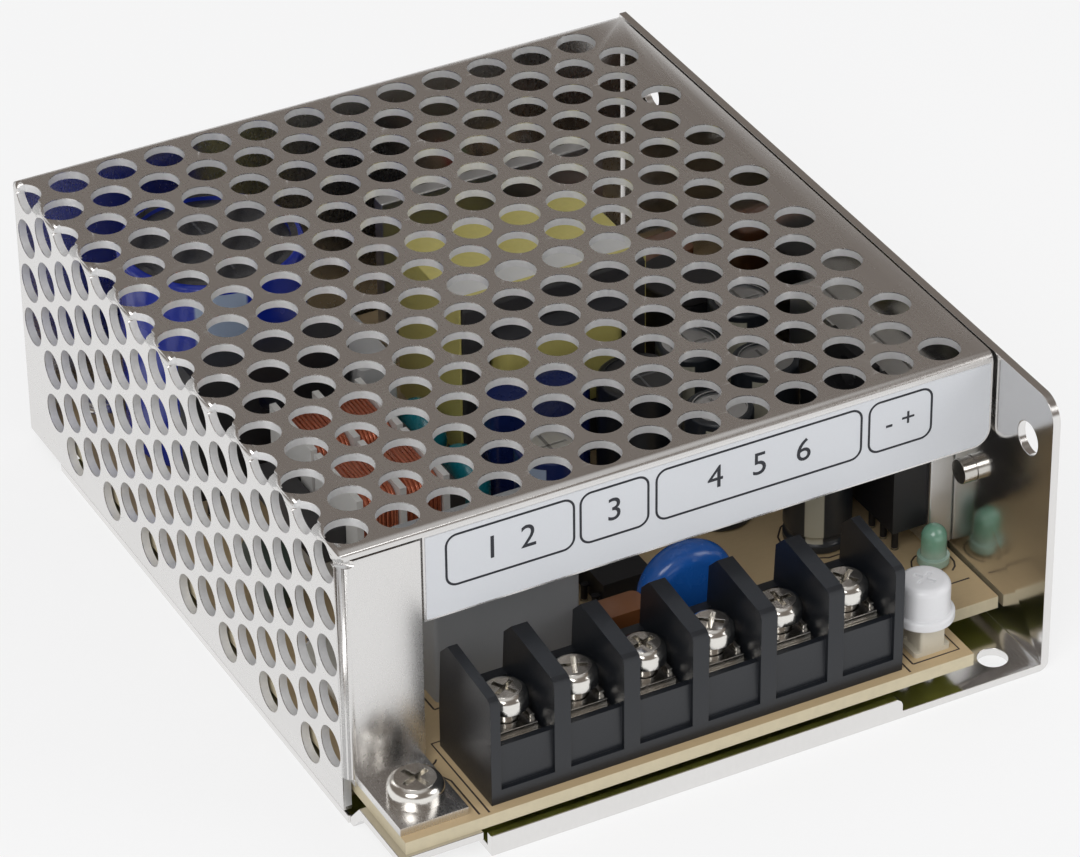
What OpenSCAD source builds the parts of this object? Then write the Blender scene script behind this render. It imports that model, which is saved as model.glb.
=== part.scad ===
/* [Case] */
// Overall length, front to back
case_l = 99; // [97:0.5:112]
// Overall width
case_w = 82; // [81.5:0.5:94]
// Overall height
case_h = 36; // [34:0.5:46]
// Thickness of the folded sheet
sheet = 1; // [0.8:0.1:1.3]
// Outer radius of the folds
fold_r = 1.2; // [0.6:0.1:1.6]
// How far the base reaches out in front of the cover
apron = 12; // [11:0.5:14]
// Gap between the cover's right edge and the wall of the base
wall_gap = 0.3; // [0.2:0.1:0.8]
// Gap between the skirt of the cover and the base plate
skirt_gap = 0.6; // [0.3:0.1:1.2]
// Height of the lip that hangs over the terminals
lip_h = 12; // [10:0.5:14]
// Radius of the lip's free corner
lip_r = 2.2; // [1:0.1:4]
// Width of the flange beside the lip
flange_w = 9.6; // [9:0.1:10.4]
// Slit between the flange and the lip
slit = 0.25; // [0.15:0.05:0.5]
// Height of the turned-up front edge of the base plate
upturn_h = 2.7; // [2:0.1:3.4]
// Radius of the upper front corner of the wall
wall_corner_r = 3; // [1:0.5:6]

/* [Perforation] */
// Hole spacing along a row
hole_pitch = 6.1; // [5.8:0.1:8]
// Hole diameter
hole_d = 4.8; // [3:0.1:5]
// First row behind the front edge of the cover
row_margin = 3.73; // [3.4:0.01:5]
// First hole of a row from the left face
hole_margin = 2.74; // [2.6:0.01:3.6]
// Least distance from a hole's centre to the right edge of the cover
plain_side = 4.6; // [4.2:0.1:7]
// Least distance from a hole's centre to the rear of the cover
plain_rear = 3.8; // [3.6:0.1:7]

/* [Board] */
// Height of the board's underside over the base plate
board_lift = 2.5; // [2.2:0.1:3.2]
// Board thickness
board_t = 1.6; // [1:0.1:2]
// Gap between the board and the walls around it
board_gap = 0.4; // [0.3:0.1:0.6]
// Front edge of the board behind the front of the case
board_front = 0.7; // [0.4:0.1:1]
// Depth of the notch in the board's front right corner
notch_d = 8; // [7:0.5:9]
// Width of that notch
notch_w = 8.2; // [7:0.1:8.4]
// Thickness of the insulation sheet under the board
film_t = 0.3; // [0.2:0.05:0.5]
// Diameter of the component leads
lead_d = 0.8; // [0.6:0.1:0.9]
// Clearance of a lead in its board hole, on the radius
lead_gap = 0.1; // [0.05:0.05:0.15]
// How far the leads reach under the board
lead_out = 1; // [0.6:0.1:1.4]

/* [Screws] */
// Thread diameter of the M3 screws
m3_d = 3; // [2.9:0.1:3.1]
// Radial clearance of a thread in its tapped hole
thread_gap = 0.05; // [0.02:0.01:0.08]
// Diameter of the free holes for M3
free_d = 3.5; // [3.4:0.1:3.8]
// Diameter of the free hole in the side wall
wall_hole_d = 4; // [3.4:0.1:4.4]
// Head diameter of the cover screw
cover_head_d = 6.4; // [5.6:0.1:7]
// Head height of the cover screw
cover_head_h = 2.4; // [1.8:0.1:2.6]
// Head diameter of the terminal screws
term_head_d = 5.4; // [4.8:0.1:6]
// Head height of the terminal screws
term_head_h = 2.1; // [1.8:0.1:2.4]

/* [Terminal block] */
// Spacing of the terminals
way_pitch = 8.5; // [8:0.1:8.9]
// Clear width between two barriers
slot_w = 6.5; // [6.2:0.1:6.8]
// Thickness of the two end barriers
end_wall = 1.2; // [1:0.1:1.8]
// Left end of the block from the left face of the case
block_inset = 12.4; // [11.8:0.1:13]
// Front of the block behind the front of the case
block_front = 1.9; // [1.5:0.1:2.2]
// Depth of the block
block_d = 12.3; // [12:0.1:12.8]
// Height of the barriers over the board
barrier_h = 14.9; // [14:0.1:16]
// Drop of the barrier tops towards the front
barrier_drop = 1; // [0.4:0.1:1.6]
// Height of the slot floor over the board
floor_h = 5.1; // [4.6:0.1:5.4]
// Thickness of the contact plates
contact_t = 1.2; // [0.8:0.1:1.6]
// Height of the front wall of a slot over its contact plate
kerb_h = 0.9; // [0.5:0.1:1.4]
// Height of the foot ledge along the front
ledge_h = 1.8; // [1.2:0.1:2.4]
// Thickness of the clamp washers
washer_t = 0.8; // [0.6:0.1:1]
// Side of the square clamp washers
washer_w = 5.4; // [5:0.1:5.8]
// Free neck between the washer and the screw head
neck_h = 1.7; // [1.2:0.1:2]
// Length of the terminal screws under the head
term_len = 7.6; // [7:0.1:8]

/* [Trimmer and lamp] */
// Knob diameter
knob_d = 6; // [5:0.1:6.4]
// Knob height over its flange
knob_h = 3.95; // [3:0.05:4.6]
// Flange diameter
flange_d = 7.1; // [6.6:0.1:7.2]
// Flange thickness
flange_t = 1.2; // [0.8:0.1:1.6]
// Height of the trimmer's pedestal
pedestal_h = 3.5; // [3:0.1:4]
// Trimmer axis from the right end of the terminal block
trimmer_x = 4.6; // [4.4:0.1:4.8]
// Trimmer axis behind the front of the case
trimmer_y = 5.2; // [5:0.1:5.6]
// Diameter of the lamp
lamp_d = 3; // [2.6:0.1:3.2]
// Height of the lamp over its leads
lamp_h = 5; // [4.4:0.1:5.6]

/* [Parts inside] */
// Diameter of the mains capacitor can
bulk_d = 22; // [18:0.5:22]
// Height of the mains capacitor can
bulk_h = 26; // [20:0.5:27]
// Width of the interference capacitor
xcap_w = 18; // [15:0.5:19]
// Depth of the interference capacitor
xcap_d = 11; // [8:0.5:12]
// Height of the interference capacitor
xcap_h = 17; // [12:0.5:18.5]
// Diameter of the surge absorber disc
disc_d = 12; // [9:0.5:13]
// Diameter of the output capacitors
out_cap_d = 8; // [6.3:0.1:8.3]
// Height of the output capacitors
out_cap_h = 15; // [11:0.5:16]
// Width of the transformer
trafo_w = 24; // [20:0.5:24]
// Depth of the transformer's core
trafo_core_d = 17; // [13:0.5:17.5]
// Height of the transformer
trafo_h = 22.9; // [20:0.1:24]
// Width of the line choke
choke_w = 19; // [17:0.5:19.5]
// Depth of the line choke's core
choke_d = 16; // [15:0.5:17]
// Length of the heat spreader on the wall
spreader_l = 32; // [28:0.5:33]
// Height of the heat spreader on the wall
spreader_h = 18; // [16:0.5:19]
// Thickness of the heat spreader on the wall
spreader_t = 3.2; // [2.4:0.1:3.3]
// Width of the rear heatsink
fin_w = 30; // [26:0.5:31]
// Height of the rear heatsink
fin_h = 23; // [18:0.5:24]
// Thickness of the rear heatsink
fin_t = 2; // [1.5:0.1:2.2]

/* [Hidden] */
$fn = 48;
e = 0.01;
ways = [0, 1, 2, 3, 4, 5];

left = -case_w/2;
right = case_w/2;
front = -case_l/2;
back = case_l/2;
cover_front = front + apron;
cover_right = right - sheet - wall_gap;
skirt_z = sheet + skirt_gap;
cover_in_l = left + sheet;
cover_in_top = case_h - sheet;
board_z = sheet + board_lift;
top_z = board_z + board_t;
lead_bottom = board_z - lead_out;

// perforation, laid out on the unfolded sheet and wrapped over the left fold
row_step = hole_pitch*sqrt(3)/2;
rows = [for (j = [0:40]) if (cover_front + row_margin + j*row_step <= back - plain_rear) j];
last_row = rows[len(rows) - 1];
function row_y(j) = cover_front + row_margin + j*row_step;
fold_take = 0.3;
function odd(j) = j % 2;
function flat_x(j, k) = left + hole_margin + (k + odd(j)/2)*hole_pitch;
function side_z(j, k) = case_h + fold_take - (left - flat_x(j, -k));
top_holes = [for (j = rows) for (k = [-1:40])
    if (flat_x(j, k) > left - hole_d/2 + 0.5 && flat_x(j, k) <= cover_right - plain_side)
        [flat_x(j, k), row_y(j)]];
side_holes = [for (j = rows) for (k = [0:12])
    if (flat_x(j, -k) < left + 0.5 && side_z(j, k) - hole_d/2 > skirt_z + 1.2
        && !(j == last_row && side_z(j, k) < 14)) [row_y(j), side_z(j, k)]];

// base plate
wall_in = right - sheet;
jog_w = flange_w + 0.4;
jog_x = left + 0.5;
jog_front = front + 0.2;
upturn_x0 = jog_x + jog_w + 0.8;
upturn_l = 51.6;
tab_hole = [left + 5.6, front + 6.6];
bottom_hole = [right - 5.1, front + 3.7];
bottom_hole_span = 74;
wall_hole = [front + 4.9, 28.8];
wall_hole_span = 86;
plug_hole = [front + 16, 18.2];
tongue_x = 24;
tongue_w = 6;
slot_gap = 0.4;

// board
board_l = left + sheet + board_gap;
board_r = wall_in - board_gap;
board_f = front + board_front;
board_b = back - sheet - 1.5;
spacer_at = [[left + 7, board_b - 4], [right - 7, board_b - 4]];
spacer_d = 5.5;

// terminal block
block_x = left + block_inset;
block_w = 5*way_pitch + slot_w + 2*end_wall;
block_y = front + block_front;
block_back = block_y + block_d;
way_x0 = block_x + end_wall + slot_w/2;
function way_x(i) = way_x0 + i*way_pitch;
screw_y = block_y + 5.4;
floor_z = top_z + floor_h;
contact_z = floor_z + contact_t;
kerb_z = contact_z + kerb_h;
contact_w = slot_w - 0.4;
contact_l = 8;
pin_y = block_back - 2.6;
term_neck = washer_t + neck_h;

// trimmer and lamp
trim_x = block_x + block_w + trimmer_x;
trim_y = front + trimmer_y;
stem_d = 2;
stem_l = 2.4;
trim_w = 4.6;
knob_lift = 0.25;
lamp_at = [right - 4.6, front + 17.6];
lamp_z = top_z + 0.5;

// parts inside, each from the walls that it stands near
xcap_at = [left + 24.6, front + 26.6];
fuse_at = [left + 6.6, front + 27];
ntc_at = [left + 7, front + 45];
disc_at = [left + 46, front + 19.5];
choke_at = [left + 20.5, front + 49.5];
ycap_at = [[left + 34.8, front + 51.5], [left + 34.8, front + 62.5]];
bridge_at = [left + 16.8, back - 32.6];
bulk_at = [left + 12.6 + bulk_d/4, back - 5 - bulk_d/2];
clamp_at = [left + 29.8, back - 30];
trafo_at = [left + 51, back - 31];
fin_at = [left + 56, back - 13.5];
out_at = [[right - 21.1, front + 38.2], [right - 13.4, front + 28.8], [right - 11.4, front + 44.5],
    [right - 17.5, front + 51.7], [right - 7.5, front + 57]];
storage_at = [right - 26, front + 48.3];
rect_y = [front + 25, front + 36];
coil_at = [right - 10, front + 67.3];
filter_at = [left + 44.6, front + 53];
supply_at = [left + 41.5, front + 43.5];
snub_at = [right - 9.5, back - 23];
res_at = [left + 62.5, back - 6.5];
res_lift = 13.5;
chip_at = [left + 43, front + 32];
opto_at = [left + 50.5, front + 38];

xcap_pins = [for (s = [-1, 1]) [xcap_at[0] + s*(xcap_w/2 - 1.5), xcap_at[1]]];
fuse_pins = [for (s = [-1, 1]) [fuse_at[0], fuse_at[1] + s*7.5]];
ntc_pins = [for (s = [-1, 1]) [ntc_at[0], ntc_at[1] + s*2.5]];
disc_pins = [for (s = [-1, 1]) [disc_at[0] + s*3.75, disc_at[1]]];
ycap_pins = [for (a = ycap_at) for (s = [-1, 1]) [a[0], a[1] + s*2.5]];
choke_pins = [for (s = [-1, 1]) for (t = [-1, 1]) [choke_at[0] + s*5, choke_at[1] + t*6.5]];
bridge_pins = [for (i = [0:3]) [bridge_at[0] - 7.5 + 5*i, bridge_at[1]]];
bypass_at = [block_x + 23.4, block_back + 3.2];
bypass_pins = [for (s = [-1, 1]) [bypass_at[0] + s*2.5, bypass_at[1]]];
bulk_pins = [for (s = [-1, 1]) [bulk_at[0] + s*5, bulk_at[1]]];
clamp_pins = [for (s = [-1, 1]) [clamp_at[0], clamp_at[1] + s*4]];
trafo_row = trafo_core_d/2 + 1.6;
trafo_pins = [for (s = [-1, 1]) for (i = [0:3]) [trafo_at[0] - 7.5 + 5*i, trafo_at[1] + s*trafo_row]];
storage_pins = [for (s = [-1, 1]) [storage_at[0] + s*2.5, storage_at[1]]];
out_pins = [for (a = out_at) for (s = [-1, 1]) [a[0] + s*1.75, a[1]]];
rect_pins = [for (y = rect_y) for (i = [-1:1]) [wall_in - spreader_t - 2.6, y + i*2.54]];
fet_pins = [for (i = [-1:1]) [fin_at[0] - 6 + i*2.54, fin_at[1] + fin_t/2 + 2.4]];
coil_pins = [for (s = [-1, 1]) [coil_at[0] + s*2.5, coil_at[1]]];
filter_pins = [for (s = [-1, 1]) [filter_at[0] + s*5, filter_at[1]]];
supply_pins = [for (s = [-1, 1]) [supply_at[0] + s*1.75, supply_at[1]]];
snub_pins = [for (s = [-1, 1]) [snub_at[0] + s*3.75, snub_at[1]]];
res_pins = [for (s = [-1, 1]) [res_at[0] + s*8, res_at[1]]];
chip_pins = [for (s = [-1, 1]) for (i = [0:3]) [chip_at[0] + s*3.81, chip_at[1] - 3.81 + 2.54*i]];
opto_pins = [for (s = [-1, 1]) for (i = [0, 1]) [opto_at[0] + s*3.81, opto_at[1] - 1.27 + 2.54*i]];
term_pins = [for (i = ways) [way_x(i), pin_y]];
trim_pins = [for (s = [-1, 1]) [trim_x + s*1.4, trim_y + 1]];
lamp_pins = [for (s = [-1, 1]) [lamp_at[0], lamp_at[1] + s*1.27]];
all_pins = concat(xcap_pins, fuse_pins, ntc_pins, disc_pins, ycap_pins, choke_pins, bridge_pins,
    bulk_pins, clamp_pins, trafo_pins, out_pins, storage_pins, rect_pins, fet_pins, coil_pins, filter_pins,
    supply_pins, bypass_pins, snub_pins, res_pins, chip_pins, opto_pins, trim_pins, lamp_pins);

// rounded rectangle about the origin, made of true arcs
module round_rect(w, h, r) {
    square([w - 2*r, h], center = true);
    square([w, h - 2*r], center = true);
    for (x = [-1, 1]) for (y = [-1, 1]) translate([x*(w/2 - r), y*(h/2 - r)]) circle(r = r);
}

// rectangle from a to b with the corner at b rounded by r
module corner_rect(a, b, r) {
    difference() {
        translate(a) square(b - a);
        translate(b - [r, r]) difference() {
            square([r + 1, r + 1]);
            circle(r = r);
        }
    }
}

// upright leads through the board at a list of places, up to height z
module leads(at, z) {
    for (p = at) translate([p[0], p[1], lead_bottom])
        cylinder(d = lead_d, h = z - lead_bottom, $fn = 16);
}

module block(x0, x1, y0, y1, z0, z1) {
    translate([x0, y0, z0]) cube([x1 - x0, y1 - y0, z1 - z0]);
}

module chassis() {
    color([0.86, 0.87, 0.88]) difference() {
        union() {
            // base plate and right wall, one fold, with the plate cut back round the jogged tab
            difference() {
                translate([0, back, 0]) rotate([90, 0, 0]) linear_extrude(case_l) difference() {
                    union() {
                        translate([left + 0.3, 0]) square([case_w - 0.3 - fold_r, sheet]);
                        translate([wall_in, fold_r]) square([sheet, case_h - fold_r]);
                        translate([wall_in - 0.4, 0]) square([0.4 + sheet, fold_r]);
                    }
                    translate([right - fold_r, fold_r]) difference() {
                        translate([0, -fold_r - 1]) square([fold_r + 1, fold_r + 1]);
                        circle(r = fold_r);
                    }
                    translate([wall_in - 1.4, sheet]) square([1.4, fold_r]);
                }
                block(left - 1, upturn_x0, front - 1, cover_front + 0.6, -1, sheet + 1);
            }
            // turned-up front edge
            translate([0, front + sheet, 0]) rotate([90, 0, 0]) linear_extrude(sheet)
                corner_rect([upturn_x0, sheet/2], [upturn_x0 + upturn_l, upturn_h], 1);
            // jogged tab that carries the board's front left corner
            translate([jog_x, 0, 0]) rotate([90, 0, 90]) linear_extrude(jog_w)
                polygon([[jog_front, board_z - sheet], [jog_front, board_z],
                    [cover_front - 1.8, board_z], [cover_front + 0.4, sheet], [cover_front + 1, sheet],
                    [cover_front + 1, 0], [cover_front - 0.2, 0], [cover_front - 2.4, board_z - sheet]]);
            // collar that the cover screw threads into
            translate([tab_hole[0], tab_hole[1], sheet/2])
                cylinder(d = m3_d + 1.6, h = board_z - sheet);
        }
        // rear left corner cut away
        block(left - 1, left + 3.4, back - 9, back + 1, -1, sheet + 1);
        // rounded upper front corner of the wall
        translate([wall_in - 1, 0, 0]) rotate([90, 0, 90]) linear_extrude(sheet + 2)
            translate([front + wall_corner_r, case_h - wall_corner_r]) difference() {
                translate([-wall_corner_r - 1, 0]) square(wall_corner_r + 1);
                circle(r = wall_corner_r);
            }
        translate([tab_hole[0], tab_hole[1], -1])
            cylinder(r = m3_d/2 + thread_gap, h = board_z + 2);
        for (y = [0, bottom_hole_span]) translate([bottom_hole[0], bottom_hole[1] + y, -1])
            cylinder(d = free_d, h = sheet + 2);
        for (y = [0, wall_hole_span])
            translate([wall_in - 1, wall_hole[0] + y, wall_hole[1]]) rotate([0, 90, 0])
                cylinder(d = wall_hole_d, h = sheet + 2);
        translate([wall_in - 1, plug_hole[0], plug_hole[1]]) rotate([0, 90, 0])
            cylinder(r = m3_d/2 + thread_gap, h = sheet + 2);
        for (s = spacer_at) translate([s[0], s[1], -1]) cylinder(d = spacer_d - 1.5, h = sheet + 2);
        for (x = [-1, 1]) block(x*tongue_x - tongue_w/2 - slot_gap, x*tongue_x + tongue_w/2 + slot_gap,
            back - sheet - slot_gap, back + 1, -1, sheet + 1);
    }
}

module cover() {
    color([0.84, 0.84, 0.87]) difference() {
        union() {
            difference() {
                // outer form with every fold rounded
                intersection() {
                    translate([0, back, 0]) rotate([90, 0, 0]) linear_extrude(back - cover_front)
                        mirror([1, 0]) corner_rect([-cover_right, skirt_z], [-left, case_h], fold_r);
                    translate([left - 1, 0, 0]) rotate([90, 0, 90]) linear_extrude(case_w) intersection() {
                        corner_rect([cover_front - 1, 0], [back, case_h], fold_r);
                        mirror([1, 0]) corner_rect([-back - 1, 0], [-cover_front, case_h], fold_r);
                    }
                    linear_extrude(case_h + 1) intersection() {
                        mirror([1, 0]) corner_rect([-case_w, cover_front - 1], [-left, back], fold_r);
                        mirror([1, 0]) mirror([0, 1])
                            corner_rect([-case_w, -back - 1], [-left, -cover_front], fold_r);
                    }
                }
                block(cover_in_l, case_w, cover_front + sheet, back - sheet, -1, cover_in_top);
            }
            // tab at the foot of the flange, clamped on the board
            block(cover_in_l + board_gap, left + flange_w, block_y, cover_front + sheet, top_z, top_z + sheet);
            // tongues of the rear wall that stand in slots of the base plate
            for (x = [-1, 1]) block(x*tongue_x - tongue_w/2, x*tongue_x + tongue_w/2,
                back - sheet, back - e, 0.2, skirt_z + 1);
        }
        // front opening under the lip, with the lip's rounded corner
        translate([0, cover_front + sheet + e, 0]) rotate([90, 0, 0]) linear_extrude(sheet + 1)
            difference() {
                translate([left + flange_w + slit, 0]) square([case_w, case_h - lip_h + lip_r]);
                translate([left + flange_w + slit, case_h - lip_h]) mirror([0, 1])
                    corner_rect([0, -lip_r - 1], [cover_right - left - flange_w - slit, 0], lip_r);
            }
        // slit between flange and lip, and the flange's free upper edge
        block(left + flange_w, left + flange_w + slit, cover_front - 1, cover_front + sheet + e,
            0, cover_in_top);
        block(left + fold_r, left + flange_w + slit, cover_front - 1, cover_front + sheet + e,
            cover_in_top - slit, cover_in_top);
        // foot of the flange, open to the board
        block(cover_in_l, left + flange_w + 1, cover_front - 1, cover_front + sheet + e, 0, top_z);
        block(left - 1, cover_in_l + e, cover_front - 1, cover_front + sheet, 0, top_z + sheet);
        // relief hole at the corner of the folds
        translate([left + sheet/2 + 0.2, cover_front + sheet/2, case_h - sheet - 0.6])
            rotate([0, 0, 45]) rotate([90, 0, 0]) cylinder(d = 1, h = 4, center = true, $fn = 16);
        translate([tab_hole[0], tab_hole[1], top_z - 1]) cylinder(d = free_d, h = sheet + 2);
        // perforation of the top and of the side
        translate([0, 0, cover_in_top - e]) linear_extrude(sheet + 1)
            for (p = top_holes) translate(p) circle(d = hole_d, $fn = 32);
        translate([cover_in_l + e, 0, 0]) rotate([90, 0, -90]) linear_extrude(sheet + 1)
            for (p = side_holes) translate([-p[0], p[1]]) circle(d = hole_d, $fn = 32);
    }
}

label_t = 0.12;
module front_label() {
    color([0.93, 0.93, 0.95]) translate([0, cover_front, 0]) rotate([90, 0, 0]) linear_extrude(label_t)
        mirror([0, 1]) corner_rect([left + flange_w + slit + 0.3, -(case_h - fold_r)],
            [cover_right - 0.3, -(case_h - lip_h + 0.3)], lip_r - 0.3);
}

// pan head with its underside at z = 0 and a cross recess
module pan_head(d, h) {
    difference() {
        rotate_extrude() {
            square([d/2 - h*0.35, h*0.98]);
            square([d/2, h*0.5]);
            intersection() {
                translate([d/2 - h*0.5, h*0.48]) circle(r = h*0.5);
                square([d, h]);
            }
        }
        for (a = [0, 90]) rotate([0, 0, a + 20])
            translate([-d*0.28, -h*0.14, h*0.42]) cube([d*0.56, h*0.28, h]);
    }
}

module cover_screw() {
    color([0.8, 0.8, 0.8]) translate([tab_hole[0], tab_hole[1], top_z + sheet]) {
        pan_head(cover_head_d, cover_head_h);
        translate([0, 0, -sheet - board_t - sheet - 0.4]) cylinder(d = m3_d, h = sheet*2 + board_t + 0.9);
    }
}

plug_out = 1.7;
module side_plug_screw() {
    color([0.78, 0.78, 0.78]) translate([wall_in - plug_out, plug_hole[0], plug_hole[1]])
        rotate([0, 90, 0]) difference() {
            cylinder(d = m3_d, h = plug_out + sheet);
            translate([-m3_d, -0.25, plug_out + sheet - 0.5]) cube([2*m3_d, 0.5, 1]);
        }
}

film_f = cover_front + 4;
module insulation_film() {
    color([0.95, 0.94, 0.85]) translate([0, 0, sheet]) linear_extrude(film_t) difference() {
        translate([left + sheet + board_gap, film_f])
            square([case_w - 3*sheet - 1.2, back - sheet - 1.6 - film_f]);
        for (s = spacer_at) translate(s) circle(d = spacer_d + 0.8);
        translate([left, back - 9.6]) square([4, 12]);
        translate([bottom_hole[0], bottom_hole[1] + bottom_hole_span]) circle(d = free_d + 2);
    }
}

module board_spacers() {
    color([0.8, 0.8, 0.78]) for (s = spacer_at) translate([s[0], s[1], 0]) difference() {
        union() {
            translate([0, 0, sheet]) cylinder(d = spacer_d, h = board_lift);
            cylinder(d = spacer_d - 1.5, h = sheet + e);
        }
        translate([0, 0, -1]) cylinder(r = m3_d/2 + thread_gap, h = board_z + 2);
    }
}

module board_screws() {
    color([0.8, 0.8, 0.8]) for (s = spacer_at) translate([s[0], s[1], top_z]) {
        pan_head(5.6, 2.2);
        translate([0, 0, -board_t - 2.4]) cylinder(d = m3_d, h = board_t + 2.6);
    }
}

module circuit_board() {
    color([0.83, 0.71, 0.5]) translate([0, 0, board_z]) linear_extrude(board_t) difference() {
        translate([board_l, board_f]) square([board_r - board_l, board_b - board_f]);
        translate([board_r - notch_w, board_f - 1]) square([notch_w + 1, notch_d + 1]);
        for (s = concat(spacer_at, [tab_hole])) translate(s) circle(d = free_d);
        for (p = all_pins) translate(p) circle(r = lead_d/2 + lead_gap, $fn = 16);
        for (p = term_pins) translate(p) circle(d = 1.6, $fn = 16);
    }
}

module terminal_housing() {
    barrier_y = block_d - 0.6;
    color([0.12, 0.13, 0.15]) difference() {
        union() {
            // foot with its ledge
            block(block_x, block_x + block_w, block_y, block_back, top_z, top_z + ledge_h);
            block(block_x, block_x + block_w, block_y + 0.6, block_back, top_z + ledge_h - e, floor_z);
            // front kerb and rear wall of the slots
            block(block_x + 0.3, block_x + block_w - 0.3, block_y + 0.6, block_y + 1.4, floor_z - e, kerb_z);
            block(block_x + 0.3, block_x + block_w - 0.3, block_back - 1.3, block_back,
                floor_z - e, kerb_z + 0.7);
            // barriers, high at the back
            for (i = [0:6]) {
                x0 = i == 0 ? block_x : way_x(i - 1) + slot_w/2;
                x1 = i == 6 ? block_x + block_w : way_x(i - 1) + slot_w/2 + (i == 0 ? 0 : way_pitch - slot_w);
                w = i == 0 ? end_wall : x1 - x0;
                translate([x0, 0, 0]) rotate([90, 0, 90]) linear_extrude(w)
                    difference() {
                        translate([block_y, top_z]) polygon([[0, 0], [0, barrier_h - barrier_drop - 0.8],
                            [0.25, barrier_h - barrier_drop - 0.25], [0.8, barrier_h - barrier_drop],
                            [barrier_y - 1.8, barrier_h], [barrier_y, barrier_h - 1.8], [block_d, floor_h],
                            [block_d, 0]]);
                        translate([block_y + barrier_y - 1.8, top_z + barrier_h - 1.8]) difference() {
                            square(4);
                            circle(r = 1.8);
                        }
                    }
            }
        }
        for (i = ways) {
            // well under the screw and slot for the contact's pin
            translate([way_x(i), screw_y, floor_z - 4.4]) cylinder(d = m3_d + 0.8, h = 5);
            translate([way_x(i), pin_y, top_z - 1]) cylinder(d = 1.6, h = floor_h + 2, $fn = 16);
        }
    }
}

module terminal_contacts() {
    color([0.82, 0.8, 0.74]) for (i = ways) {
        difference() {
            translate([way_x(i) - contact_w/2, block_y + 1.6, floor_z]) cube([contact_w, contact_l, contact_t]);
            translate([way_x(i), screw_y, floor_z - 1]) cylinder(r = m3_d/2 + thread_gap, h = contact_t + 2);
        }
        translate([way_x(i), pin_y, lead_bottom]) cylinder(d = 1.2, h = floor_z + 0.1 - lead_bottom, $fn = 16);
        translate([way_x(i) - 0.8, block_y + contact_l, floor_z]) cube([1.6, pin_y + 1 - block_y - contact_l, 1]);
    }
}

// square clamp washer with turned-up sides
module clamp_washer(i) {
    color([0.88, 0.88, 0.86]) translate([way_x(i), screw_y, contact_z]) difference() {
        union() {
            translate([-washer_w/2, -washer_w/2, 0]) cube([washer_w, washer_w, washer_t]);
            for (s = [-1, 1]) translate([s*(washer_w/2 - 0.3) - 0.3, -washer_w/2 + 0.8, 0])
                cube([0.6, washer_w - 1.6, washer_t + 0.5]);
        }
        translate([0, 0, -1]) cylinder(r = m3_d/2 + 0.1, h = washer_t + 3);
    }
}

module terminal_screw(i) {
    color([0.86, 0.85, 0.83]) translate([way_x(i), screw_y, contact_z + term_neck]) {
        difference() {
            rotate([0, 0, 10 + 37*i]) pan_head(term_head_d, term_head_h);
        }
        translate([0, 0, -term_len]) cylinder(d = m3_d, h = term_len + 0.3);
    }
}

module trimmer_body() {
    color([0.9, 0.86, 0.8]) difference() {
        union() {
            translate([trim_x, trim_y, top_z]) {
                translate([0, 0, 0.3]) linear_extrude(pedestal_h - 0.3) round_rect(trim_w - 1.4, trim_w, 0.4);
                linear_extrude(0.6) round_rect(trim_w, trim_w, 0.4);
            }
            leads(trim_pins, top_z + 1);
        }
        translate([trim_x, trim_y, top_z + pedestal_h - stem_l - 0.2])
            cylinder(r = stem_d/2 + thread_gap, h = stem_l + 1);
    }
}

module trimmer_knob() {
    z0 = top_z + pedestal_h + knob_lift;
    color([0.93, 0.93, 0.95]) translate([trim_x, trim_y, z0]) difference() {
        union() {
            rotate_extrude() {
                square([flange_d/2 - 0.3, flange_t]);
                translate([0, 0.3]) square([flange_d/2, flange_t - 0.6]);
                translate([flange_d/2 - 0.3, 0.3]) circle(r = 0.3, $fn = 24);
                translate([flange_d/2 - 0.3, flange_t - 0.3]) circle(r = 0.3, $fn = 24);
                square([knob_d/2, flange_t + knob_h - 0.9]);
                square([knob_d/2 - 0.9, flange_t + knob_h]);
                translate([knob_d/2 - 0.9, flange_t + knob_h - 0.9]) circle(r = 0.9);
            }
            translate([0, 0, -stem_l - knob_lift + 0.1]) cylinder(d = stem_d, h = stem_l + knob_lift);
        }
        for (a = [0, 90]) rotate([0, 0, a + 30]) translate([-1.3, -0.25, flange_t + knob_h - 0.35])
            cube([2.6, 0.5, 1]);
    }
}

module indicator_lamp() {
    color([0.5, 0.75, 0.62]) {
        translate([lamp_at[0], lamp_at[1], lamp_z]) rotate_extrude() {
            square([lamp_d/2 + 0.4, 1]);
            square([lamp_d/2, lamp_h - lamp_d/2]);
            intersection() {
                translate([0, lamp_h - lamp_d/2]) circle(d = lamp_d);
                square([lamp_d, lamp_h]);
            }
        }
        leads(lamp_pins, lamp_z + 0.3);
    }
}

module interference_capacitor() {
    color([0.62, 0.62, 0.6]) {
        translate([xcap_at[0], xcap_at[1], top_z]) linear_extrude(xcap_h) round_rect(xcap_w, xcap_d, 0.6);
        leads(xcap_pins, top_z + 0.5);
    }
}

module fuse() {
    color([0.9, 0.9, 0.86]) {
        translate([fuse_at[0], fuse_at[1] - 5.5, top_z + 3]) rotate([-90, 0, 0]) cylinder(d = 4.2, h = 11);
        for (s = [-1, 1]) translate([fuse_at[0], fuse_at[1] + s*6.5, top_z + 3]) rotate([90, 0, 0])
            cylinder(d = lead_d, h = 2.4, center = true, $fn = 16);
        leads(fuse_pins, top_z + 3 + lead_d/2);
    }
}

// upright disc across Y or X, with two leads
module disc_part(at, d, t, lift, turn, pins) {
    translate([at[0], at[1], top_z + lift + d/2]) rotate([0, 0, turn]) rotate([90, 0, 0])
        rotate_extrude() {
            translate([0, -t/2]) square([d/2 - t/2, t]);
            intersection() {
                translate([d/2 - t/2, 0]) circle(d = t);
                translate([0, -t]) square([d, 2*t]);
            }
        }
    leads(pins, top_z + lift + d*0.22);
}

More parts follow.
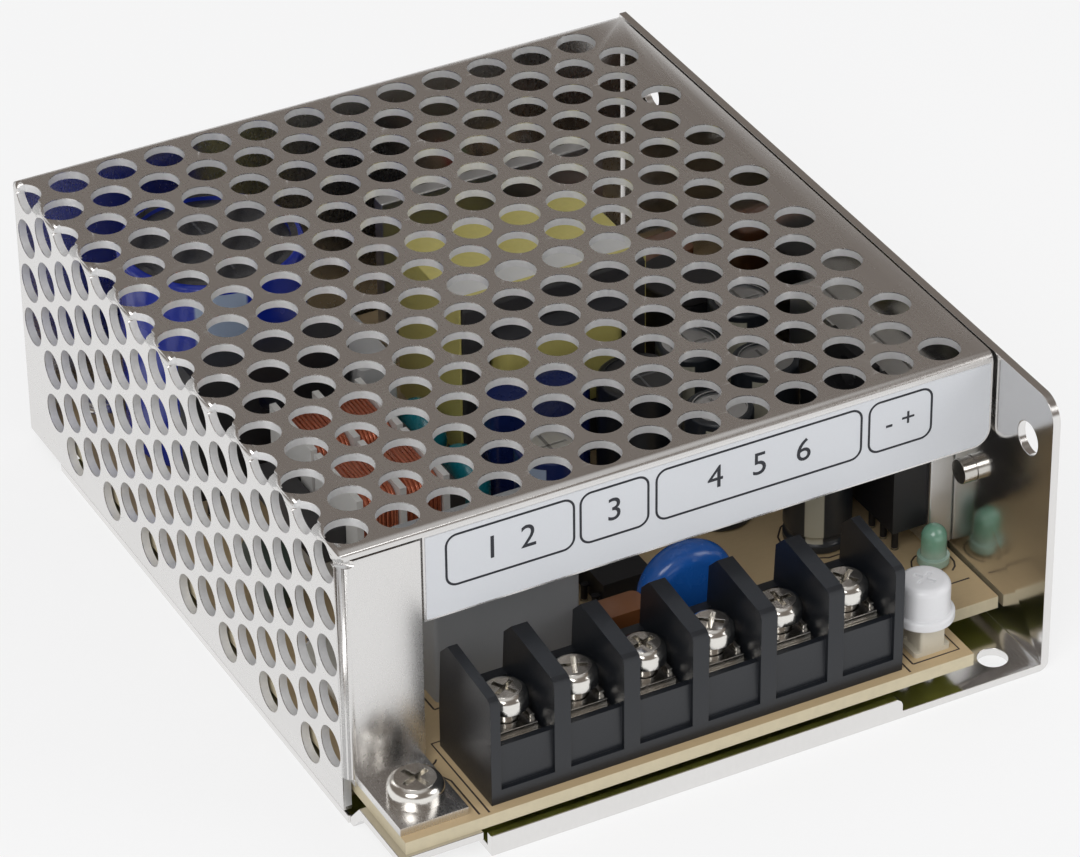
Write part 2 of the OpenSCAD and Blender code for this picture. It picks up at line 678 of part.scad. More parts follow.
module inrush_thermistor() {
    color([0.16, 0.2, 0.17]) disc_part(ntc_at, 10, 4.4, 1.5, 90, ntc_pins);
}

module surge_absorber() {
    color([0.1, 0.22, 0.62]) disc_part(disc_at, disc_d, 4, 0.4, 0, disc_pins);
}

module safety_capacitors() {
    color([0.1, 0.6, 0.65]) for (i = [0, 1])
        disc_part(ycap_at[i], 8.5, 4, 1.2, 90, [ycap_pins[2*i], ycap_pins[2*i + 1]]);
}

choke_leg = 4.4;
choke_z = top_z + 6.3;
module line_choke_core() {
    color([0.2, 0.2, 0.21]) translate([choke_at[0], choke_at[1], choke_z + 1]) linear_extrude(choke_leg)
        difference() {
            square([choke_w, choke_d], center = true);
            square([choke_w - 2*choke_leg + 2, choke_d - 2*choke_leg], center = true);
        }
}

// a rectangular tube along X round one leg of the choke core
module choke_tube(x0, x1, w, h, wi, hi) {
    translate([x0, 0, 0]) rotate([90, 0, 90]) linear_extrude(x1 - x0) difference() {
        square([w, h], center = true);
        square([wi, hi], center = true);
    }
}

choke_in = choke_leg + 0.4;
choke_spool = choke_w - 2*choke_leg + 2 - 0.6;
choke_mid = choke_z + 1 + choke_leg/2;
module line_choke_bobbin() {
    leg_y = choke_d/2 - choke_leg/2;
    color([0.93, 0.92, 0.9]) {
        for (s = [-1, 1]) translate([choke_at[0], choke_at[1] + s*leg_y, choke_mid]) {
            choke_tube(-choke_spool/2, choke_spool/2, choke_in + 1, choke_in + 1, choke_in, choke_in);
            for (x = [-choke_spool/2, -0.4, choke_spool/2 - 0.8])
                choke_tube(x, x + 0.8, choke_in + 6, choke_in + 10, choke_in, choke_in);
        }
        block(choke_at[0] - choke_spool/2, choke_at[0] + choke_spool/2, choke_at[1] - choke_d/2 - 1,
            choke_at[1] + choke_d/2 + 1, top_z, choke_mid - choke_in/2 - 4.8);
        leads(choke_pins, top_z + 0.3);
    }
}

module line_choke_windings() {
    leg_y = choke_d/2 - choke_leg/2;
    color([0.6, 0.25, 0.16]) for (s = [-1, 1]) for (t = [-1, 1])
        translate([choke_at[0] + (t < 0 ? -choke_spool/2 + 0.85 : 0.45), choke_at[1] + s*leg_y, choke_mid])
            rotate([90, 0, 90]) linear_extrude(choke_spool/2 - 1.3) difference() {
                round_rect(choke_in + 5, choke_in + 8.6, 2);
                square([choke_in + 1.04, choke_in + 1.04], center = true);
            }
}

module bridge_rectifier() {
    color([0.1, 0.1, 0.11]) {
        translate([bridge_at[0] - 10, bridge_at[1] - 1.75, top_z + 3.4]) difference() {
            cube([20, 3.5, 17.5]);
            translate([10, -1, 11.5]) rotate([-90, 0, 0]) cylinder(d = 3.2, h = 6);
        }
        leads(bridge_pins, top_z + 3.6);
    }
}

module mains_capacitor() {
    color([0.08, 0.16, 0.62]) {
        translate([bulk_at[0], bulk_at[1], top_z]) rotate_extrude($fn = 64) difference() {
            union() {
                square([bulk_d/2 - 0.8, bulk_h]);
                translate([0, 0.8]) square([bulk_d/2, bulk_h - 1.6]);
                for (z = [0.8, bulk_h - 0.8]) translate([bulk_d/2 - 0.8, z]) circle(r = 0.8, $fn = 32);
            }
            translate([0, bulk_h - 0.5]) square([bulk_d/2 - 1.6, 1]);
        }
        leads(bulk_pins, top_z + 0.5);
    }
}

module clamp_capacitor() {
    color([0.72, 0.73, 0.74]) {
        translate([clamp_at[0], clamp_at[1], top_z]) linear_extrude(16) round_rect(5, 12, 0.8);
        leads(clamp_pins, top_z + 0.5);
    }
}

trafo_foot = 2;
trafo_bar = 3.6;
trafo_z0 = top_z + trafo_foot;
trafo_z1 = top_z + trafo_h - 0.3;
trafo_win = trafo_w/2 - trafo_bar;
trafo_post = 3.6;
spool_y = trafo_core_d/2 + 2.6;
module transformer_core() {
    color([0.22, 0.22, 0.23]) translate([trafo_at[0], trafo_at[1] + trafo_core_d/2, 0]) rotate([90, 0, 0])
        linear_extrude(trafo_core_d) difference() {
            translate([-trafo_w/2, trafo_z0]) square([trafo_w, trafo_z1 - trafo_z0]);
            for (s = [-1, 1]) translate([s > 0 ? trafo_post : -trafo_win, trafo_z0 + trafo_bar])
                square([trafo_win - trafo_post, trafo_z1 - trafo_z0 - 2*trafo_bar]);
        }
}

// spool round the centre post, between heights a and b
module spool(a, b, x, y, r) {
    translate([trafo_at[0], trafo_at[1], a]) linear_extrude(b - a) difference() {
        round_rect(2*x, 2*y, r);
        square([2*trafo_post + 0.4, trafo_core_d + 0.4], center = true);
    }
}

module transformer_bobbin() {
    za = trafo_z0 + trafo_bar + 0.15;
    zb = trafo_z1 - trafo_bar - 0.15;
    color([0.88, 0.87, 0.84]) {
        spool(za, za + 1, trafo_win - 0.2, spool_y, 0.8);
        spool(zb - 1, zb, trafo_win - 0.2, spool_y, 0.8);
        spool(za + 0.5, zb - 0.5, trafo_post + 1.2, trafo_core_d/2 + 1.2, 0.8);
        for (s = [-1, 1]) {
            block(trafo_at[0] - trafo_win, trafo_at[0] + trafo_win, trafo_at[1] + s*trafo_row - 1.2,
                trafo_at[1] + s*trafo_row + 1.2, top_z, za + 0.2);
        }
        leads(trafo_pins, top_z + 0.5);
    }
}

module transformer_winding() {
    za = trafo_z0 + trafo_bar + 1.2;
    zb = trafo_z1 - trafo_bar - 1.2;
    color([0.86, 0.8, 0.36]) translate([trafo_at[0], trafo_at[1], za]) linear_extrude(zb - za) difference() {
        round_rect(2*trafo_win - 0.6, 2*spool_y - 0.4, 1.6);
        square([2*trafo_post + 2.44, trafo_core_d + 2.44], center = true);
    }
}

module transformer_tape() {
    color([0.88, 0.82, 0.42]) translate([trafo_at[0], trafo_at[1] + trafo_core_d/2 - 0.4, 0])
        rotate([90, 0, 0]) linear_extrude(trafo_core_d - 0.8) difference() {
            translate([-trafo_w/2 - 0.3, trafo_z0]) square([trafo_w + 0.6, trafo_z1 - trafo_z0 + 0.3]);
            translate([-trafo_w/2, trafo_z0 - 1]) square([trafo_w, trafo_z1 - trafo_z0 + 1]);
        }
}

spreader_y = front + 19.5;
spreader_z = top_z + 0.9;
module heat_spreader() {
    color([0.75, 0.76, 0.78]) block(wall_in - spreader_t, wall_in, spreader_y, spreader_y + spreader_l,
        spreader_z, spreader_z + spreader_h);
}

// upright transistor case with its back at x = 0, leads down
module power_case() {
    translate([-4.5, -5, 0]) cube([4.5, 10, 9]);
    translate([-1.3, -5, 9]) difference() {
        cube([1.3, 10, 6.2]);
        translate([-1, 5, 3.2]) rotate([0, 90, 0]) cylinder(d = 3.6, h = 4);
    }
}

module output_rectifiers() {
    color([0.14, 0.14, 0.15]) {
        for (y = rect_y) translate([wall_in - spreader_t, y, top_z + 4]) power_case();
        leads(rect_pins, top_z + 4.2);
    }
}

module rear_heatsink() {
    color([0.78, 0.79, 0.8]) block(fin_at[0] - fin_w/2, fin_at[0] + fin_w/2, fin_at[1] - fin_t/2,
        fin_at[1] + fin_t/2, top_z, top_z + fin_h);
}

module switching_transistor() {
    color([0.14, 0.14, 0.15]) {
        translate([fin_at[0] - 6, fin_at[1] + fin_t/2, top_z + 4]) rotate([0, 0, -90]) power_case();
        leads(fet_pins, top_z + 4.2);
    }
}

// round capacitor can with a grooved foot and a plain top
module can(d, h) {
    rotate_extrude() difference() {
        union() {
            square([d/2 - 0.5, h]);
            translate([0, 0.5]) square([d/2, h - 1]);
            for (z = [0.5, h - 0.5]) translate([d/2 - 0.5, z]) circle(r = 0.5, $fn = 24);
        }
        translate([d/2 + 0.4, 1.8]) circle(r = 0.8, $fn = 24);
        translate([0, h - 0.25]) square([d/2 - 0.9, 1]);
    }
}

module output_capacitors() {
    color([0.2, 0.2, 0.22]) {
        for (a = out_at) translate([a[0], a[1], top_z]) can(out_cap_d, out_cap_h);
        leads(out_pins, top_z + 0.5);
    }
}

module storage_capacitor() {
    color([0.1, 0.1, 0.11]) {
        translate([storage_at[0], storage_at[1], top_z]) can(10, out_cap_h);
        leads(storage_pins, top_z + 0.5);
    }
}

module output_choke_core() {
    color([0.24, 0.24, 0.25]) translate([coil_at[0], coil_at[1], top_z + 0.4]) {
        cylinder(d = 10, h = 1.6);
        cylinder(d = 5, h = 13);
        translate([0, 0, 11.4]) cylinder(d = 10, h = 1.6);
    }
}

module output_choke_winding() {
    color([0.5, 0.5, 0.52]) {
        translate([coil_at[0], coil_at[1], top_z + 2.1]) difference() {
            cylinder(d = 9.4, h = 9.6);
            translate([0, 0, -1]) cylinder(d = 5.1, h = 12);
        }
    }
}

module box_capacitor(at, w, d, h, pins) {
    translate([at[0], at[1], top_z]) linear_extrude(h) round_rect(w, d, 1);
    leads(pins, top_z + 0.5);
}

module filter_capacitor() {
    color([0.1, 0.2, 0.22]) box_capacitor(filter_at, 13, 5, 15, filter_pins);
}

module bypass_capacitor() {
    color([0.66, 0.4, 0.2]) box_capacitor(bypass_at, 7.4, 3.6, 8.6, bypass_pins);
}

module supply_capacitor() {
    color([0.1, 0.14, 0.3]) {
        translate([supply_at[0], supply_at[1], top_z]) can(8, 13);
        leads(supply_pins, top_z + 0.5);
    }
}

module snubber_capacitor() {
    color([0.5, 0.36, 0.22]) box_capacitor(snub_at, 10.5, 5, 12, snub_pins);
}

module snubber_resistor() {
    color([0.6, 0.6, 0.58]) {
        translate([res_at[0], res_at[1], top_z + res_lift]) rotate([0, 90, 0]) cylinder(d = 5, h = 12, center = true);
        for (s = [-1, 1]) translate([res_at[0] + s*7, res_at[1], top_z + res_lift]) rotate([0, 90, 0])
            cylinder(d = lead_d, h = 2.4, center = true, $fn = 16);
        leads(res_pins, top_z + res_lift + lead_d/2);
    }
}

// flat-bodied chip with its leads bent down at both sides
module dip(at, w, l, h, pins) {
    block(at[0] - w/2, at[0] + w/2, at[1] - l/2, at[1] + l/2, top_z + 0.5, top_z + 0.5 + h);
    leads(pins, top_z + 0.5 + h/2);
    for (p = pins) block(min(p[0], at[0] + (p[0] > at[0] ? w/2 - 0.1 : -w/2 + 0.1)),
        max(p[0], at[0] + (p[0] > at[0] ? w/2 - 0.1 : -w/2 + 0.1)), p[1] - 0.35, p[1] + 0.35,
        top_z + 0.2 + h/2, top_z + 0.5 + h/2);
}

module control_chip() {
    color([0.12, 0.12, 0.13]) dip(chip_at, 6.4, 9.4, 3.3, chip_pins);
}

module optocoupler() {
    color([0.9, 0.9, 0.9]) dip(opto_at, 6.4, 4.6, 3.4, opto_pins);
}

chassis();
cover();
front_label();
cover_screw();
side_plug_screw();
insulation_film();
board_spacers();
board_screws();
circuit_board();
terminal_housing();
terminal_contacts();
clamp_washer(0);  // clamp_washer_1
clamp_washer(1);  // clamp_washer_2
clamp_washer(2);  // clamp_washer_3
clamp_washer(3);  // clamp_washer_4
clamp_washer(4);  // clamp_washer_5
clamp_washer(5);  // clamp_washer_6
terminal_screw(0);  // terminal_screw_1
terminal_screw(1);  // terminal_screw_2
terminal_screw(2);  // terminal_screw_3
terminal_screw(3);  // terminal_screw_4
terminal_screw(4);  // terminal_screw_5
terminal_screw(5);  // terminal_screw_6
trimmer_body();
trimmer_knob();
indicator_lamp();
interference_capacitor();
fuse();
inrush_thermistor();
surge_absorber();
safety_capacitors();
line_choke_core();
line_choke_bobbin();
line_choke_windings();
bridge_rectifier();
mains_capacitor();
clamp_capacitor();
transformer_core();
transformer_bobbin();
transformer_winding();
transformer_tape();
heat_spreader();
output_rectifiers();
rear_heatsink();
switching_transistor();
output_capacitors();
storage_capacitor();
output_choke_core();
output_choke_winding();
filter_capacitor();
supply_capacitor();
bypass_capacitor();
snubber_capacitor();
snubber_resistor();
control_chip();
optocoupler();
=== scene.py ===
"""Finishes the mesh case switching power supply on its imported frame.

Every part of the supply keeps the place its frame gives it. Each operator
below dresses one part or one group of like parts, and main() runs them all.
"""

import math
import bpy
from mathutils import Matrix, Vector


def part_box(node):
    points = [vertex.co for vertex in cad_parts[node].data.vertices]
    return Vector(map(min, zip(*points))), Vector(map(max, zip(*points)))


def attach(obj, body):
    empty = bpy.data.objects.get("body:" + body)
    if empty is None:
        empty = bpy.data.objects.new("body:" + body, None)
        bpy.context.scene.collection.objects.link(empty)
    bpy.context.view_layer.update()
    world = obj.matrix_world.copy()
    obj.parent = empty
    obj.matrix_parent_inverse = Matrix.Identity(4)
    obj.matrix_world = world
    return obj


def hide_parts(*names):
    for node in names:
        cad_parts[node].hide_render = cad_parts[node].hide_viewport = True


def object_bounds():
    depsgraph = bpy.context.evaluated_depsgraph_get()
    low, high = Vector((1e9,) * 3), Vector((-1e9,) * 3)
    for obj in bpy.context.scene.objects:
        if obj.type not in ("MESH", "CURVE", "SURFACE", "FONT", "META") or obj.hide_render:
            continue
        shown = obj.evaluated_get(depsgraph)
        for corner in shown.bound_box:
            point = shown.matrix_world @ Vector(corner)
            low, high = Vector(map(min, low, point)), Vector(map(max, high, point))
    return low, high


bl_info = {
    "name": "Mesh Case Power Supply",
    "version": (1, 0, 0),
    "blender": (4, 5, 0),
    "location": "View3D > Sidebar > Power Supply",
    "description": "Finishes, fine parts and studio for a mesh case switching power supply",
    "category": "Object",
}

import bmesh
import bpy
from bpy.props import FloatProperty, FloatVectorProperty, IntProperty, PointerProperty
from mathutils import Matrix, Vector

bpy.ops.wm.read_factory_settings(use_empty=True)
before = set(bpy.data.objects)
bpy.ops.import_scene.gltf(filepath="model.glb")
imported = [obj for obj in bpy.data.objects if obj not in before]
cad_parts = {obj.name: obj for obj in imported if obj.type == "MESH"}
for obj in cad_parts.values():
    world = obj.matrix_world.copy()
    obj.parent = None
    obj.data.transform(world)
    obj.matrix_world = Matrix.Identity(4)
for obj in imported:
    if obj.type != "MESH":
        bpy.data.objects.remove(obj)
CAD_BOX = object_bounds()

MM = 0.001
BOARD_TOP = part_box("circuit_board")[1].z / MM
LABEL_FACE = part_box("front_label")[0].y / MM
CASE_TOP = 36.0  # height of the cover's upper face
COVER_FRONT = -37.4  # everything of the cover in front of this is flange, lip or tab
LEAD_TIP = 2.5  # height at which a part's leads end under the board
LEAD_TOP = 5.05  # just under the board's upper face: leads show below this
SCREWS = range(1, 7)

# Where things stand on the board and the label, in millimetres.
LABEL_BOXES = (
    (-28.6, -12.9, "1  2"),
    (-12.4, -3.8, "3"),
    (-3.1, 22.9, "4   5   6"),
    (23.6, 31.9, "- +"),
)
LABEL_BOX_LOW, LABEL_BOX_HIGH = 27.75, 34.2
NUMBER_HEIGHT, SIGN_HEIGHT = 3.0, 2.4
FILM = 0.03  # thickness of printed lines
MAINS_CAN, STORAGE_CAN, SUPPLY_CAN = (-22.9, 33.5), (15.0, -1.2), (0.5, -6.0)
OUTPUT_CANS = ((19.9, -11.3), (27.6, -20.7), (29.6, -5.0), (23.5, 2.2), (33.5, 7.5))
CHOKE_SECTIONS = ((-25.2, -5.8), (-25.2, 5.8), (-19.8, -5.8), (-19.8, 5.8))
CHOKE_ACROSS, CHOKE_ROUND, CHOKE_TURNS = 9.8, 2.0, 9
FUSE_MIDDLE, RESISTOR_MIDDLE = -22.5, 21.5
RESISTOR_BANDS = (
    (17.6, (0.42, 0.03, 0.02)),
    (19.6, (0.02, 0.20, 0.05)),
    (21.6, (0.05, 0.03, 0.02)),
    (24.8, (0.50, 0.36, 0.08)),
)
TAPE_STRIP = (12.6, 16.4)  # the blank strip across the transformer

# The camera and the lamps, in metres.
CAMERA_PLACE = (-0.233704, -0.452681, 0.358650)
CAMERA_AXES = (
    (0.883381, -0.468553, -0.009787),
    (0.268323, 0.488537, 0.830261),
    (-0.38424, -0.736063, 0.557288),
)
CAMERA_LENS = 178.108
KEY_PLACE, KEY_SIZE = (-0.75, -0.75, 1.05), 0.9
FILL_PLACE, FILL_SIZE = (0.85, -0.65, 0.6), 0.7
FLOOR_REACH = 6.0

# Bare metal that several finishes share.
TINNED = (0.70, 0.70, 0.70)
RAYS = ("Is Camera Ray", "Is Glossy Ray", "Is Transmission Ray")


# ---------------------------------------------------------------- settings


def level(name, text, value, **more):
    """A number setting that is never below 0."""
    return FloatProperty(name=name, description=text, default=value, min=0.0, **more)


def length(name, text, value):
    """A length setting, in metres, given here in millimetres."""
    return level(name, text, value * MM, unit="LENGTH", precision=5)


def colour(name, text, value):
    """A colour setting, in linear light."""
    return FloatVectorProperty(name=name, description=text, default=value, min=0.0, max=1.0, subtype="COLOR")


class SupplySizes(bpy.types.PropertyGroup):
    """Sizes of the fine work on the supply."""

    sheet_edge: length("Sheet edge", "Rounding of the steel sheet's cut edges", 0.16)
    punch_edge: length("Punched edge", "Rounding on the outer rim of each punched hole", 0.14)
    block_edge: length("Block edge", "Rounding of the moulded terminal block", 0.28)
    screw_edge: length("Screw edge", "Rounding of screw heads and their recesses", 0.16)
    plate_edge: length("Plate edge", "Rounding of washers and contact plates", 0.12)
    knob_edge: length("Knob edge", "Rounding of the trimmer knob", 0.4)
    box_edge: length("Box edge", "Rounding of boxed capacitors", 0.55)
    disc_edge: length("Disc edge", "Rounding of dipped disc parts", 1.3)
    core_edge: length("Core edge", "Rounding of ferrite and tape corners", 0.4)
    choke_wire: length("Choke wire", "Diameter of the line choke's enamelled wire", 0.5)
    mark_line: length("Mark line", "Width of the printed outlines on the label", 0.27)
    mark_round: length("Mark rounding", "Corner radius of the printed outlines", 1.3)
    silk_line: length("Board line", "Width of the printed lines on the board", 0.22)
    joint_width: length("Solder joint", "Width of one solder joint under the board", 1.9)


class SupplyColours(bpy.types.PropertyGroup):
    """Colours of the supply's finishes."""

    steel: colour("Steel", "Plated steel sheet of the case", (0.72, 0.71, 0.70))
    cut_steel: colour("Cut steel", "Sheared walls of the punched holes", (0.80, 0.80, 0.80))
    nickel: colour("Nickel", "Plated screws and washers", (0.78, 0.76, 0.72))
    label: colour("Label", "Matte face of the front label", (0.74, 0.76, 0.79))
    ink: colour("Ink", "Printed outlines and numbers", (0.012, 0.014, 0.022))
    block: colour("Block", "Moulded terminal block", (0.011, 0.013, 0.017))
    board: colour("Board", "Bare upper face of the board", (0.56, 0.42, 0.24))
    mask: colour("Mask", "Coated underside of the board", (0.30, 0.31, 0.055))
    fibre: colour("Fibre", "Sawn edge of the board", (0.66, 0.58, 0.40))
    knob: colour("Knob", "Trimmer knob", (0.80, 0.80, 0.81))
    pedestal: colour("Pedestal", "Trimmer body", (0.62, 0.57, 0.46))
    lamp: colour("Lamp", "Indicator lamp's cast body", (0.22, 0.52, 0.36))
    sleeve: colour("Sleeve", "Mains capacitor's sleeve", (0.012, 0.035, 0.42))
    stripe: colour("Stripe", "Stripe on the capacitors' sleeves", (0.45, 0.55, 0.72))
    tape: colour("Tape", "Transformer tape", (0.72, 0.64, 0.20))
    disc: colour("Blue disc", "Dipped surge absorber", (0.014, 0.13, 0.52))
    teal: colour("Teal disc", "Dipped safety capacitors", (0.010, 0.24, 0.30))
    copper: colour("Copper", "Enamelled copper wire", (0.50, 0.13, 0.055))
    bobbin: colour("Bobbin", "Moulded white bobbins", (0.72, 0.71, 0.68))
    ferrite: colour("Ferrite", "Ferrite cores", (0.040, 0.038, 0.040))
    epoxy: colour("Epoxy", "Moulded black packages", (0.014, 0.014, 0.016))
    grey_box: colour("Grey box", "Interference capacitor's case", (0.36, 0.37, 0.38))
    navy: colour("Navy", "Dipped filter capacitors", (0.010, 0.022, 0.12))
    brown: colour("Brown", "Dipped brown capacitors", (0.18, 0.065, 0.022))
    aluminium: colour("Aluminium", "Bare heatsinks and can tops", (0.78, 0.79, 0.80))


class SupplyStage(bpy.types.PropertyGroup):
    """Lamps and surroundings of the studio."""

    ambient: level("Ambient", "Level of the even light from all around", 0.50)
    key: level("Key lamp", "Power of the large lamp in front on the left", 7.5, unit="POWER")
    fill: level("Fill lamp", "Power of the lamp in front on the right", 2.6, unit="POWER")
    dome: colour("Dome", "Dark upper part of the room that metal reflects", (0.205, 0.178, 0.158))
    floor_white: level("Floor white", "Share of plain white in the floor", 0.72, max=1.0, subtype="FACTOR")
    seed: IntProperty(name="Seed", description="Seed of small irregularities", default=7)


# ------------------------------------------------------------- node writing


class Val:
    """A socket that carries a value; arithmetic on it adds Math nodes."""

    def __init__(self, tree, socket):
        self.tree, self.socket = tree, socket

    def __add__(self, other):
        return self.tree.math("ADD", self, other)

    def __sub__(self, other):
        return self.tree.math("SUBTRACT", self, other)

    def __rsub__(self, other):
        return self.tree.math("SUBTRACT", other, self)

    def __mul__(self, other):
        return self.tree.math("MULTIPLY", self, other)

    def __mod__(self, other):
        return self.tree.math("FLOORED_MODULO", self, other)

    def __gt__(self, other):
        return self.tree.math("GREATER_THAN", self, other)

    def __lt__(self, other):
        return self.tree.math("LESS_THAN", self, other)

    def __abs__(self):
        return self.tree.math("ABSOLUTE", self)

    __radd__, __rmul__ = __add__, __mul__

    def ease(self, low, high):
        """0 below low and 1 above high, with a smooth step between."""
        return self.tree.node(
            "ShaderNodeMapRange",
            {"interpolation_type": "SMOOTHSTEP"},
            {"Value": self, "From Min": low, "From Max": high},
        )


class Nodes:
    """Writes nodes into one tree."""

    def __init__(self, tree):
        self.tree = tree
        self.tree.nodes.clear()

    def feed(self, socket, value):
        if isinstance(value, Val):
            self.tree.links.new(value.socket, socket)
        elif hasattr(value, "__len__") and not isinstance(value, str):
            socket.default_value = (*value, 1.0)[: len(socket.default_value)]
        else:
            socket.default_value = value

    def node(self, kind, settings=None, inputs=None, out=0):
        """Adds a node: its settings first, then the values or links of its sockets."""
        made = self.tree.nodes.new(kind)
        for key, value in (settings or {}).items():
            setattr(made, key, value)
        for key, value in (inputs or {}).items():
            self.feed(made.inputs[key], value)
        return Val(self, made.outputs[out])

    def math(self, operation, first, second=0.0):
        return self.node("ShaderNodeMath", {"operation": operation}, {0: first, 1: second})

    def mix(self, share, first, second):
        """Mixes two colours."""
        return self.node("ShaderNodeMix", {"data_type": "RGBA"}, {0: share, 6: first, 7: second}, out=2)


class Paint(Nodes):
    """One material with a Principled shader; positions are read in millimetres."""

    def __init__(self, name, **fixed):
        self.material = bpy.data.materials.new(name)
        self.material.use_nodes = True
        super().__init__(self.material.node_tree)
        self.shader = self.tree.nodes.new("ShaderNodeBsdfPrincipled")
        for key, value in fixed.items():
            self.feed(self.shader.inputs[key.replace("_", " ")], value)
        output = self.tree.nodes.new("ShaderNodeOutputMaterial")
        self.tree.links.new(self.shader.outputs[0], output.inputs[0])
        self.kept = {}

    def once(self, key, make):
        if key not in self.kept:
            self.kept[key] = make()
        return self.kept[key]

    def axis(self, kind, letter):
        place = self.once(kind, lambda: self.node("ShaderNodeTexCoord", out=kind))
        parts = "XYZ".index(letter.upper())
        split = self.once((kind, "split"), lambda: self.node("ShaderNodeSeparateXYZ", None, {0: place}))
        return Val(self, split.socket.node.outputs[parts])

    @property
    def x(self):
        return self.once("x", lambda: self.axis("Object", "X") * 1000.0)

    @property
    def y(self):
        return self.once("y", lambda: self.axis("Object", "Y") * 1000.0)

    @property
    def z(self):
        return self.once("z", lambda: self.axis("Object", "Z") * 1000.0)

    def facing(self, letter):
        """How far the surface turns to an axis, 0 to 1."""
        return self.once(("facing", letter), lambda: abs(self.axis("Normal", letter)))

    def noise(self, size, detail=2.0, rough=0.5, stretch=(1.0, 1.0, 1.0)):
        """Smooth noise from 0 to 1 whose blotches are about size millimetres wide."""
        place = self.once("Object", lambda: self.node("ShaderNodeTexCoord", out="Object"))
        scale = tuple(1000.0 / (size * part) for part in stretch)
        moved = self.node("ShaderNodeMapping", None, {"Vector": place, "Scale": scale})
        return self.node(
            "ShaderNodeTexNoise",
            None,
            {"Vector": moved, "Scale": 1.0, "Detail": detail, "Roughness": rough},
        )

    def shades(self, base, share, amount):
        """A colour that is darker and lighter by an amount where share is 0 and 1."""
        dark = tuple(part * (1.0 - amount) for part in base)
        light = tuple(min(1.0, part * (1.0 + amount)) for part in base)
        return self.mix(share, dark, light)

    def bump(self, height, depth):
        """A bump whose full height is depth millimetres."""
        bump = self.node("ShaderNodeBump", None, {"Height": height, "Distance": depth * MM})
        self.feed(self.shader.inputs["Normal"], bump)

    def set(self, **sockets):
        for key, value in sockets.items():
            self.feed(self.shader.inputs[key.replace("_", " ")], value)
        return self


class Growth(Nodes):
    """A Geometry Nodes tree with named inputs that ends as one real mesh."""

    def __init__(self, name, inputs):
        tree = bpy.data.node_groups.new(name, "GeometryNodeTree")
        super().__init__(tree)
        tree.interface.new_socket("Base", in_out="INPUT", socket_type="NodeSocketGeometry")
        for label, kind in inputs:
            tree.interface.new_socket(label, in_out="INPUT", socket_type="NodeSocket" + kind)
        tree.interface.new_socket("Finish", in_out="INPUT", socket_type="NodeSocketMaterial")
        tree.interface.new_socket("Result", in_out="OUTPUT", socket_type="NodeSocketGeometry")
        self.enter = tree.nodes.new("NodeGroupInput")

    def take(self, label):
        return Val(self, self.enter.outputs[label])

    def close(self, result):
        real = self.node("GeometryNodeRealizeInstances", None, {0: result})
        done = self.node("GeometryNodeSetMaterial", None, {"Geometry": real, "Material": self.take("Finish")})
        leave = self.tree.nodes.new("NodeGroupOutput")
        self.tree.links.new(done.socket, leave.inputs[0])
        return self

    def grow(self, name, values, material, base=None):
        """Runs the tree once and gives its result as a plain mesh object."""
        mesh = base or bpy.data.meshes.new(name + "_seed")
        seed = bpy.data.objects.new(name + "_seed", mesh)
        bpy.context.scene.collection.objects.link(seed)
        modifier = seed.modifiers.new("Growth", "NODES")
        modifier.node_group = self.tree
        for item in self.tree.interface.items_tree:
            if item.in_out == "INPUT" and item.name in values:
                modifier[item.identifier] = values[item.name]
            elif item.in_out == "INPUT" and item.name == "Finish":
                modifier[item.identifier] = material
        made = plain(seed, name)
        if not len(made.polygons):
            raise RuntimeError(f"{name}: the node tree gave no faces")
        seed.modifiers.remove(modifier)
        bpy.data.objects.remove(seed)
        return join_scene(name, made, material)


# ------------------------------------------------------------ mesh handling


def plain(obj, name):
    """The evaluated object as a mesh of its own."""
    bpy.context.view_layer.update()
    graph = bpy.context.evaluated_depsgraph_get()
    mesh = bpy.data.meshes.new_from_object(
        obj.evaluated_get(graph),
        preserve_all_data_layers=True,
        depsgraph=graph,
    )
    mesh.name = name
    return mesh


def join_scene(name, mesh, material):
    """An object at the origin for a finished mesh."""
    mesh.materials.clear()
    mesh.materials.append(material)
    obj = bpy.data.objects.new(name, mesh)
    bpy.context.scene.collection.objects.link(obj)
    return obj


def settle(obj, body, slot, replaces=()):
    """Hands a finished piece to the frame."""
    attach(obj, body)
    if replaces:
        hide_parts(*replaces)
    return obj


def body_of(node):
    """The body that carries a node of the frame."""
    if node.startswith("terminal_screw_"):
        return "screw_" + node[-1]
    return "trimmer_knob" if node == "trimmer_knob" else "case"


def dress(node, material):
    """Gives a node of the frame its finish and leaves its shape alone."""
    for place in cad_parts[node].material_slots:
        place.link = "OBJECT"
        place.material = material


